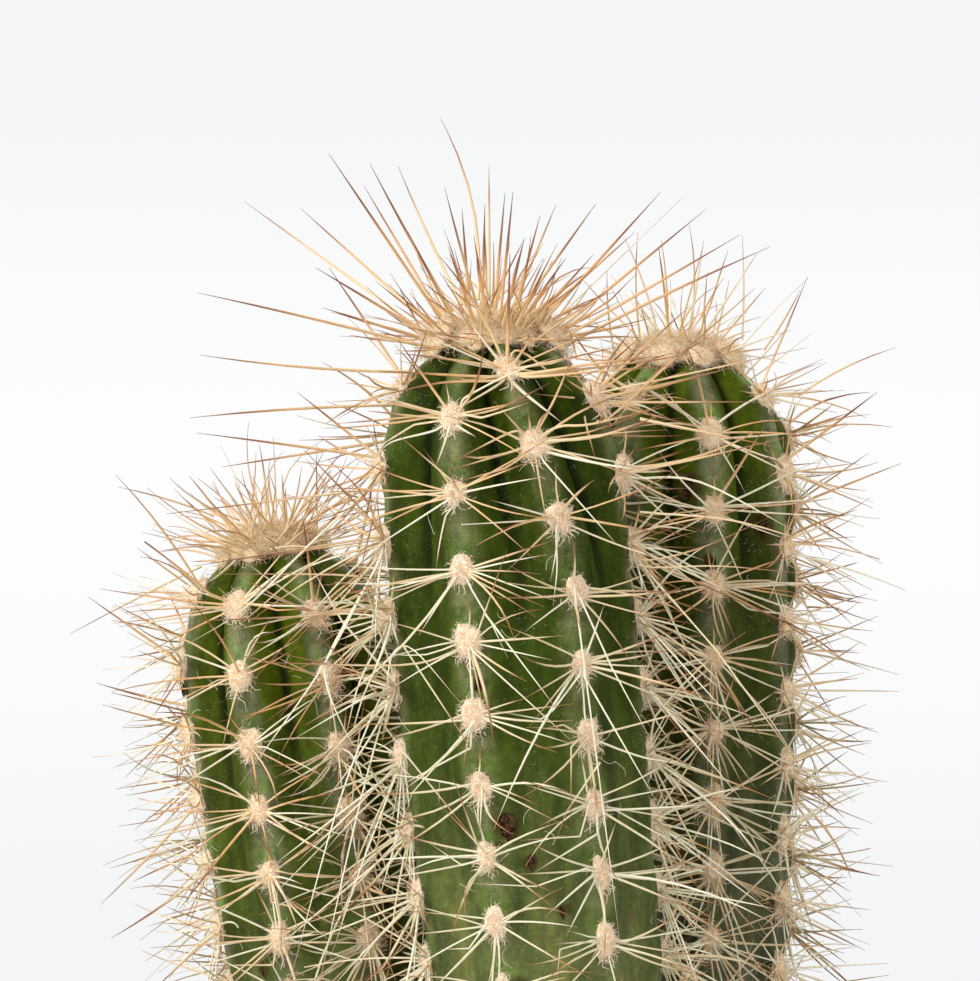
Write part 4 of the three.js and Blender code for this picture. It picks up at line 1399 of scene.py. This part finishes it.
# the long spines of the main crown: root and tip as seen, their depths, tone and youth
crownSpines = [
    ((440, 318), (329, 154), 2, -12, 0.75, 1, 0.0),
    ((452, 312), (370, 164), -3, -14, 0.9, 1, 0.01),
    ((444, 322), (364, 186), 5, 10, 0.5, 0.9, 0.0),
    ((462, 305), (398, 166), 6, 18, 0.3, 0.5, 0.02),
    ((478, 300), (440, 118), 4, 14, 0.45, 0.6, 0.07),
    ((489, 300), (489, 167), 6, 20, 0.35, 0.5, 0.0),
    ((470, 315), (462, 209), -5, -10, 0.95, 1, 0.0),
    ((482, 318), (485, 204), -2, -4, 0.9, 1, 0.0),
    ((494, 316), (505, 193), 1, 4, 1.0, 1, 0.0),
    ((500, 318), (513, 192), -4, -12, 0.9, 1, 0.0),
    ((512, 318), (540, 216), 0, 2, 0.85, 1, 0.0),
    ((506, 324), (556, 205), 4, 12, 0.3, 0.8, 0.0),
    ((520, 322), (566, 258), -5, -12, 0.8, 1, 0.0),
    ((530, 322), (593, 255), 3, 5, 0.6, 1, 0.01),
    ((540, 325), (660, 193), 0, 4, 0.7, 1, 0.0),
    ((545, 330), (681, 199), 5, 20, 0.15, 0.5, 0.0),
    ((538, 318), (634, 233), 6, 14, 0.3, 0.7, 0.0),
    ((552, 336), (705, 210), -2, -8, 0.6, 1, 0.0),
    ((560, 340), (740, 235), -4, -16, 0.5, 0.9, 0.0),
    ((566, 345), (770, 247), 2, -2, 0.6, 0.9, 0.01),
    ((430, 325), (300, 208), 5, 16, 0.45, 0.8, 0.0),
    ((424, 332), (245, 202), 6, 24, 0.3, 0.5, 0.0),
    ((428, 335), (316, 268), -4, -14, 0.8, 1, 0.0),
    ((420, 338), (323, 308), 2, -4, 0.7, 0.9, 0.0),
    ((418, 345), (198, 293), -4, -20, 0.65, 0.9, 0.01),
    ((408, 372), (200, 355), -5, -18, 0.3, 0.7, 0.02),
    ((398, 405), (190, 418), 0, -8, 0.6, 0.8, 0.02),
    ((395, 460), (197, 433), -4, -14, 0.7, 0.8, 0.01),
    ((392, 440), (222, 467), 2, -2, 0.5, 0.7, 0.0),
    ((455, 325), (408, 232), -6, -18, 0.9, 1, 0.0),
    ((474, 322), (448, 246), -7, -16, 0.6, 1, 0.0),
    ((488, 326), (474, 236), -8, -16, 0.7, 1, 0.0),
    ((503, 326), (524, 240), -8, -18, 0.9, 1, 0.0),
    ((515, 328), (548, 262), -8, -14, 0.8, 1, 0.0),
]

# long spines at the outer edges of the other two stems: stem, root and tip as seen
edgeSpines = [
    ("left", (214, 516), (118, 487), 0.6),
    ("left", (202, 566), (70, 634), 0.3),
    ("left", (196, 590), (138, 548), 0.4),
    ("left", (240, 520), (170, 478), 0.3),
    ("right", (798, 396), (895, 348), 0.5),
    ("right", (790, 470), (878, 462), 0.3),
    ("right", (764, 350), (800, 290), 0.4),
    ("right", (742, 340), (742, 236), 0.2),
    ("right", (641, 345), (638, 232), 0.5),
    ("right", (667, 345), (661, 240), 0.25),
    ("right", (688, 345), (689, 226), 0.35),
    ("right", (700, 348), (707, 272), 0.5),
    ("right", (614, 352), (607, 270), 0.45),
    ("right", (712, 350), (729, 280), 0.2),
]

# lengths in millimetres
crownSizes = {
    "share": 0.54,  # of the stem's radius
    "height": 4.2,
    "below": 1.5,  # the apex
    "cap": 0.82,  # of the crown's radius
    "capHeight": 0.86,  # of its height
    "pad": 2.7,
    "innerTufts": 5,
    "fibres": 3600,
    "fibre": (1.5, 0.12, 0.2),  # length, hang and beard
    "youngLength": (5, 17),
    "youngTurn": 2.39996,  # the golden angle spreads the young spines evenly
    "edgeBehind": -6,  # how much further back an edge spine ends than it starts
}


def growCrown(stem):
    spines = Spines(stem.seed + 5)
    dice = spines.dice
    size = crownSizes
    brim = stem.radius * size["share"]
    others = [other for other in stems.values() if other is not stem]
    for root, tip in needlesOf(stem.name + "_crown"):
        heading = unit(tip - root)
        shares, line = spines.path(root - heading * 0.4, tip, bend=dice.gauss(0, 0.015), kinked=0.03)
        tone = dice.uniform(*stem.crownTone)
        spines.add(shares, line, spineSizes["longRadius"] * 0.95, tone, dice.uniform(0.6, 1))
    for k in range(stem.crownShort):
        share = math.sqrt((k + 0.5) / stem.crownShort)
        point, up, side = stem.facing(0, k * size["youngTurn"] + dice.gauss(0, 0.2))
        lean = math.radians(4 + 72 * share + dice.gauss(0, 17))
        swerve = np.cross(up, side) * dice.gauss(0, 0.55)
        heading = unit(up * math.cos(lean) + side * math.sin(lean) + swerve)
        root = point + up * (size["height"] * (1 - share**2) - 1.6) + side * brim * 0.9 * share
        length = dice.uniform(*size["youngLength"])
        shares, line = spines.path(root, root + heading * length, bend=dice.gauss(0, 0.07))
        if min(other.gaps(line).min() for other in others) > spineSizes["clearance"]:
            radius = spineSizes["longRadius"] * dice.uniform(0.5, 0.85)
            tone = dice.uniform(*stem.crownTone) * 0.75
            spines.add(shares, line, radius, tone, dice.uniform(0.7, 1))
    return spines


def crownPads(stem):
    # tufts on the lobed cap of the CAD crown: a ring over the ribs, one inside it and one in the middle
    dice = random.Random(stem.seed + 9)
    size = crownSizes
    brim = stem.radius * size["share"]
    rise = size["height"] * size["capHeight"]
    wide = brim * size["cap"]
    pads = [domeOf(*stem.at(size["below"]), wide, wide, rise, 28, 8, 0.05, stem.seed)]
    rings = ((stem.ribs, 0.84, stem.firstRibAngle), (size["innerTufts"], 0.45, 20), (1, 0, 0))
    for count, share, first in rings:
        for k in range(count):
            turn = math.radians(first + 360 * k / count + dice.gauss(0, 5))
            point, up, side = stem.facing(size["below"], turn)
            out = unit(side * share + up * (1.05 - share * 0.6))
            across = unit(np.cross(up, side))
            lift = rise * math.sqrt(max(1 - share**2, 0)) - 1.1
            centre = point + side * brim * share + up * (lift + dice.uniform(-0.3, 0.3))
            wide = size["pad"] * dice.uniform(0.8, 1.1)
            if count == stem.ribs:
                wide = wide * stem.crownPads.get(k, 1)
                centre = centre - up * (1 - stem.crownPads.get(k, 1)) * 1.2
            axes = (centre, out, across, np.cross(out, across))
            pads.append(domeOf(*axes, wide, wide, 0.55 * wide, 12, 4, 0.06, turn))
    return pads


for name, stem in stems.items():
    spines = growCrown(stem)
    if name == "main":
        for root, tip, near, far, tone, youth, bend in crownSpines:
            shares, line = spines.path(inView(*root, near), inView(*tip, far), bend=bend, kinked=0)
            spines.add(shares, line, spineSizes["longRadius"] * (1 if tone > 0.2 else 0.6), tone, youth)
    for owner, root, tip, tone in edgeSpines:
        if owner == name:
            near = stem.at(20)[0][1] - stems["main"].at(20)[0][1]
            far = near + crownSizes["edgeBehind"]
            shares, line = spines.path(inView(*root, near), inView(*tip, far), kinked=0)
            spines.add(shares, line, spineSizes["sideRadius"], tone, 0.6)
    placeSpines(name + "_crown_spines", spines, name + "_crown")
    values = (crownPads(stem), crownSizes["fibres"], crownSizes["fibre"], stem.seed, stem.crownHoney)
    growWool(name + "_crown_wool", name + "_crown", *values)

scarSizes = {"wide": 0.85, "high": 1.1, "proud": 0.22, "sunk": 0.12, "lobes": 0.04, "lumps": 0.7}
corkLook = {"cork": tint(92, 68, 50), "dark": tint(32, 23, 19), "edge": tint(92, 80, 52)}


def makeCork():
    material, graph = newMaterial("corky scar", 0.95, 0.03)
    crumbs = graph.noise(graph.place, 2600, 4, 0.7)
    colour = graph.mix(graph.span(crumbs, 0.42, 0.62), corkLook["dark"], corkLook["cork"])
    colour = graph.mix(graph.span(graph.known("centre"), 0.35, 0.05), colour, corkLook["edge"])
    graph.paint(colour)
    graph.bump(crumbs, 1.0, 0.4 * mm)
    return material


cork = makeCork()
for name, stem in stems.items():
    pads = []
    for drop, degrees, across in [scar[1:] for scar in scars if scar[0] == name]:
        size = scarSizes
        spot, side = stem.surface(drop, degrees)
        up = stem.at(drop)[1]
        axes = (spot - side * size["sunk"], side, unit(np.cross(up, side)), up)
        reach = (across * size["wide"], across * size["high"], size["proud"])
        pads.append(domeOf(*axes, *reach, 24, 6, size["lobes"], drop, size["lumps"]))
    placed(name + "_scars", coated(padsMesh(name + "_scars", pads), cork), name + "_stem")

# sizes in millimetres
soilSizes = {
    "swell": 0.8,
    "rings": 70,
    "sides": 150,
    "clods": 3.4,
    "grains": 1900,
    "grain": 0.3,
    "coarser": 1.05,  # how much larger the largest ones are
    "plug": ((3.2, 90), (9, 60)),  # how far in from its edge, at what height
    "plugLow": (40.5, 20),  # radius and height
    "plugFoot": 37.4,
}
soilLook = {
    "earth": tint(74, 58, 44),
    "dark": tint(38, 29, 22),
    "grit": tint(150, 138, 120),
    "perlite": tint(226, 222, 212),
}


def soilHeight(x, y):
    broad = math.sin(x / 8.3 + 1.2) * math.cos(y / 9.1) + math.sin((x + 2 * y) / 13.7)
    return soilLevel + soilSizes["swell"] * broad


def makeSoilLook():
    material, graph = newMaterial("potting mix", 0.95, 0.2)
    clods = graph.noise(graph.place, 260, 5, 0.7)
    colour = graph.mix(graph.span(clods, 0.38, 0.6), soilLook["dark"], soilLook["earth"])
    kind = graph.known("kind")  # 0 is earth, then darker and lighter grit up to white perlite
    colour = graph.mix(graph.span(kind, 0.45, 0.75), colour, soilLook["grit"])
    colour = graph.mix(graph.span(kind, 0.9, 0.94), colour, soilLook["perlite"])
    shade = graph.mix(graph.noise(graph.place, 900, 3), (0.7, 0.7, 0.7, 1), (1.2, 1.2, 1.2, 1))
    graph.paint(graph.times(colour, shade))
    graph.bump(clods, 0.8, 0.6 * mm)
    return material


def makeSoilTree():
    tree, graph = newTree("soil", {"Grains": 1e5}, {"Seed": 3})
    given = graph.given
    calc = graph.math
    place = graph.add("GeometryNodeInputPosition").outputs[0]
    normal = graph.add("GeometryNodeInputNormal").outputs[0]
    upward = graph.vector("DOT_PRODUCT", normal, (0, 0, 1))
    lump = calc("SUBTRACT", graph.noise(place, 160, 5, 0.65), 0.5)
    lift = graph.product(lump, soilSizes["clods"] * mm, graph.span(upward, 0.4, 0.8))
    upwards = graph.add("ShaderNodeCombineXYZ", {2: lift}).outputs[0]
    lumpy = {"Geometry": given["Geometry"], "Offset": upwards}
    ground = graph.add("GeometryNodeSetPosition", lumpy).outputs[0]
    scatter = {"Mesh": ground, "Density": given["Grains"], "Seed": given["Seed"]}
    scatter |= {"Selection": calc("GREATER_THAN", upward, 0.6)}
    spots = graph.add("GeometryNodeDistributePointsOnFaces", scatter).outputs["Points"]

    # a dented grain, in many sizes, of which most are small
    grain = graph.add("GeometryNodeMeshIcoSphere", {"Radius": 1.0, "Subdivisions": 1}).outputs[0]
    dent = calc("MULTIPLY_ADD", graph.noise(place, 1.3, 2), 0.9, 0.55)
    dented = {"Geometry": grain, "Position": graph.scaled(place, dent)}
    grain = graph.add("GeometryNodeSetPosition", dented).outputs[0]
    rare = calc("POWER", graph.chance(0.0, 1.0, 4), 3)
    wide = calc("MULTIPLY_ADD", rare, soilSizes["coarser"] * mm, soilSizes["grain"] * mm)
    size = graph.scaled(graph.chance((0.7, 0.7, 0.5), (1.25, 1.1, 0.9), 6), wide)
    turn = graph.chance((0, 0, 0), (6.28, 6.28, 6.28), 2)
    spread = {"Points": spots, "Instance": grain, "Rotation": turn, "Scale": size}
    grains = graph.add("GeometryNodeInstanceOnPoints", spread).outputs[0]
    grains = graph.marked(grains, "INSTANCE", {"kind": graph.chance(0.0, 1.0, 8)})
    grains = graph.add("GeometryNodeRealizeInstances", {0: grains}).outputs[0]
    graph.finish(graph.joined(grains, ground))
    return tree


def turnedMesh(name, profile, sides, first, last):
    # a profile of (radius, height) pairs turned round the Z axis, with a middle point at both ends;
    # a height may be a function of x and y
    points = [first]
    for radius, rise in profile:
        for side in range(sides):
            turn = 2 * math.pi * side / sides
            x, y = radius * math.cos(turn), radius * math.sin(turn)
            points.append((x, y, rise(x, y) if callable(rise) else rise))
    points.append(last)
    return hostMesh(name, np.array(points) * mm, faces=ringFaces(sides, len(profile)))


def makeSoilHost(radius, foot):
    size = soilSizes
    profile = [(radius * (k + 1) / size["rings"], soilHeight) for k in range(size["rings"])]
    profile += [(radius - inward, height) for inward, height in size["plug"]]
    profile += [size["plugLow"], (size["plugFoot"], foot)]
    return turnedMesh("soil", profile, size["sides"], (0, 0, soilHeight(0, 0)), (0, 0, foot))


soilLow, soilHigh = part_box("soil")
soilHost = makeSoilHost(soilHigh[0] / mm, soilLow[2] / mm)
values = {"Grains": soilSizes["grains"] / (math.pi * soilHigh[0] ** 2), "Material": makeSoilLook()}
placed("potting_soil", grown("potting_soil", soilHost, makeSoilTree(), values), "soil")

# the rim's size comes from the frame; millimetres
potSizes = {
    "rimHeight": 24,
    "rimStep": 3.2,
    "footRadius": 43,
    "footRing": 6,
    "wall": 6,
    "floor": 8,
    "rounding": 1.6,
    "sides": 160,
    "facet": 4,
    "unevenness": 0.12,
    "evenMiddle": 30,
}
potLook = {
    "clay": tint(190, 112, 76),
    "deep": tint(160, 84, 54),
    "chalk": tint(222, 190, 164),
    "chalkLow": 0.03,  # chalk gathers below this height and on the rim, metres
    "chalkRim": (0.095, 0.112),
    "roughness": 0.82,
}


def makeClay():
    material, graph = newMaterial("fired clay", potLook["roughness"], 0.3)
    place = graph.place
    rise = graph.add("ShaderNodeSeparateXYZ", {0: place}).outputs[2]
    broad = graph.noise(place, 26, 4)
    fine = graph.noise(place, 700, 3)
    colour = graph.mix(graph.span(broad, 0.35, 0.65), potLook["deep"], potLook["clay"])
    bands = graph.add("ShaderNodeCombineXYZ", {2: graph.product(rise, 12)}).outputs[0]
    rings = graph.noise(graph.total(bands, graph.scaled(place, 0.6)), 45, 2)
    chalk = graph.product(graph.span(graph.noise(place, 60, 5, 0.65), 0.5, 0.72), 0.55)
    low = graph.span(rise, potLook["chalkLow"], 0.0, 0, 1)
    most = graph.math("MAXIMUM", low, graph.span(rise, *potLook["chalkRim"]))
    chalk = graph.product(chalk, graph.math("MULTIPLY_ADD", most, 0.8, 0.35))
    colour = graph.mix(chalk, colour, potLook["chalk"])
    shade = graph.mix(fine, (0.88, 0.88, 0.88, 1), (1.1, 1.1, 1.1, 1))
    graph.paint(graph.times(colour, shade))
    height = graph.math("MULTIPLY_ADD", rings, 0.7, graph.product(fine, 0.35))
    graph.bump(height, 0.35, 0.25 * mm)
    return material


def rounded(corners, radius, steps=5):
    # an outline with each of its corners rounded off
    line = [np.array(corner, float) for corner in corners]
    result = [line[0]]
    for before, corner, after in zip(line, line[1:], line[2:]):
        start = corner + unit(before - corner) * min(radius, np.linalg.norm(before - corner) * 0.45)
        end = corner + unit(after - corner) * min(radius, np.linalg.norm(after - corner) * 0.45)
        for k in range(steps + 1):
            share = k / steps
            result.append((1 - share) ** 2 * start + 2 * share * (1 - share) * corner + share**2 * end)
    return result + [line[-1]]


def makePot():
    size = potSizes
    wallTop = potHeight - size["rimHeight"]
    wallRadius = potRadius - size["rimStep"]

    def inside(height):
        share = min(height / wallTop, 1)
        return size["footRadius"] + (wallRadius - size["footRadius"]) * share - size["wall"]

    corners = [
        (inside(size["floor"]), size["floor"]),
        (inside(wallTop), wallTop),
        (inside(potHeight), potHeight),
        (potRadius, potHeight),
        (potRadius, wallTop),
        (wallRadius, wallTop),
        (size["footRadius"], 0),
        (size["footRadius"] - size["footRing"], 0),
    ]
    profile = rounded(corners, size["rounding"])
    dense = []
    for start, end in zip(profile, profile[1:]):
        steps = max(int(np.linalg.norm(end - start) / size["facet"]), 1)
        dense += [start + (end - start) * k / steps for k in range(steps)]
    dense.append(profile[-1])
    mesh = turnedMesh("pot", dense, size["sides"], (0, 0, size["floor"]), (0, 0, 0))
    for vertex in mesh.vertices:
        flat = Vector((vertex.co.x, vertex.co.y, 0))
        if vertex.co.z > 0.5 * mm and flat.length > size["evenMiddle"] * mm:
            push = noise.noise(vertex.co * 28) * size["unevenness"] * mm
            vertex.co -= flat.normalized() * abs(push)
    return mesh


placed("clay_pot", coated(makePot(), makeClay()), "pot")
print("pot and soil made")

# metres
stageLook = {
    "floorRadius": 1.05,
    "floorSides": 96,
    "floorHeight": -0.0003,
    "floor": tint(238, 238, 236),
    "floorPatch": tint(234, 234, 232),
    "horizon": tint(253, 253, 253),
    "above": tint(244, 245, 246),
    "dimmed": 0.7,  # the studio is a little dimmer on the right, so the light comes from the left
    "lightsAimAt": (0, 0, 0.19),
}
# place, size and power
lights = {
    "key": ((-0.75, -0.65, 0.85), 0.55, 10.5),
    "fill": ((0.8, -0.6, 0.45), 0.7, 1.2),
    "back": ((0.2, 0.9, 0.8), 0.6, 5.0),
}


def makeFloor():
    sides = stageLook["floorSides"]
    turns = [2 * math.pi * side / sides for side in range(sides)]
    radius, height = stageLook["floorRadius"], stageLook["floorHeight"]
    points = [(radius * math.cos(turn), radius * math.sin(turn), height) for turn in turns]
    mesh = hostMesh("floor", points, faces=[tuple(range(sides))])
    material, graph = newMaterial("floor", 0.8, 0.2)
    patches = graph.noise(graph.place, 30, 3)
    graph.paint(graph.mix(patches, stageLook["floorPatch"], stageLook["floor"]))
    mesh.materials.append(material)
    return bpy.data.objects.new("floor", mesh)


floor = makeFloor()
scene.collection.objects.link(floor)

world = bpy.data.worlds.new("studio")
scene.world = world
world.use_nodes = True
sky = Graph(world.node_tree)
background = world.node_tree.nodes["Background"]
direction = sky.add("ShaderNodeTexCoord").outputs["Generated"]
axes = sky.add("ShaderNodeSeparateXYZ", {0: direction}).outputs
levelSky = sky.span(sky.math("ABSOLUTE", axes[2]), 0.01, 0.11)
sky.feed(background.inputs["Color"], sky.mix(levelSky, stageLook["horizon"], stageLook["above"]))
sky.feed(background.inputs["Strength"], sky.span(axes[0], 0.25, 0.85, 1.0, stageLook["dimmed"]))

for label, (place, size, power) in lights.items():
    data = bpy.data.lights.new(label, "AREA")
    data.size = size
    data.energy = power
    lamp = bpy.data.objects.new(label, data)
    lamp.location = place
    aim = Vector(stageLook["lightsAimAt"]) - Vector(place)
    lamp.rotation_euler = aim.to_track_quat("-Z", "Y").to_euler()
    scene.collection.objects.link(lamp)

lens = bpy.data.cameras.new("camera")
lens.lens = 100
lens.sensor_width = 24
lens.clip_start = 0.02
lens.clip_end = 20
camera = bpy.data.objects.new("camera", lens)
camera.location = Vector(cameraPlace) * mm
camera.rotation_euler = (math.radians(90), 0, 0)
scene.collection.objects.link(camera)
scene.camera = camera
scene.view_settings.view_transform = "Standard"
print("stage, lights and camera made")
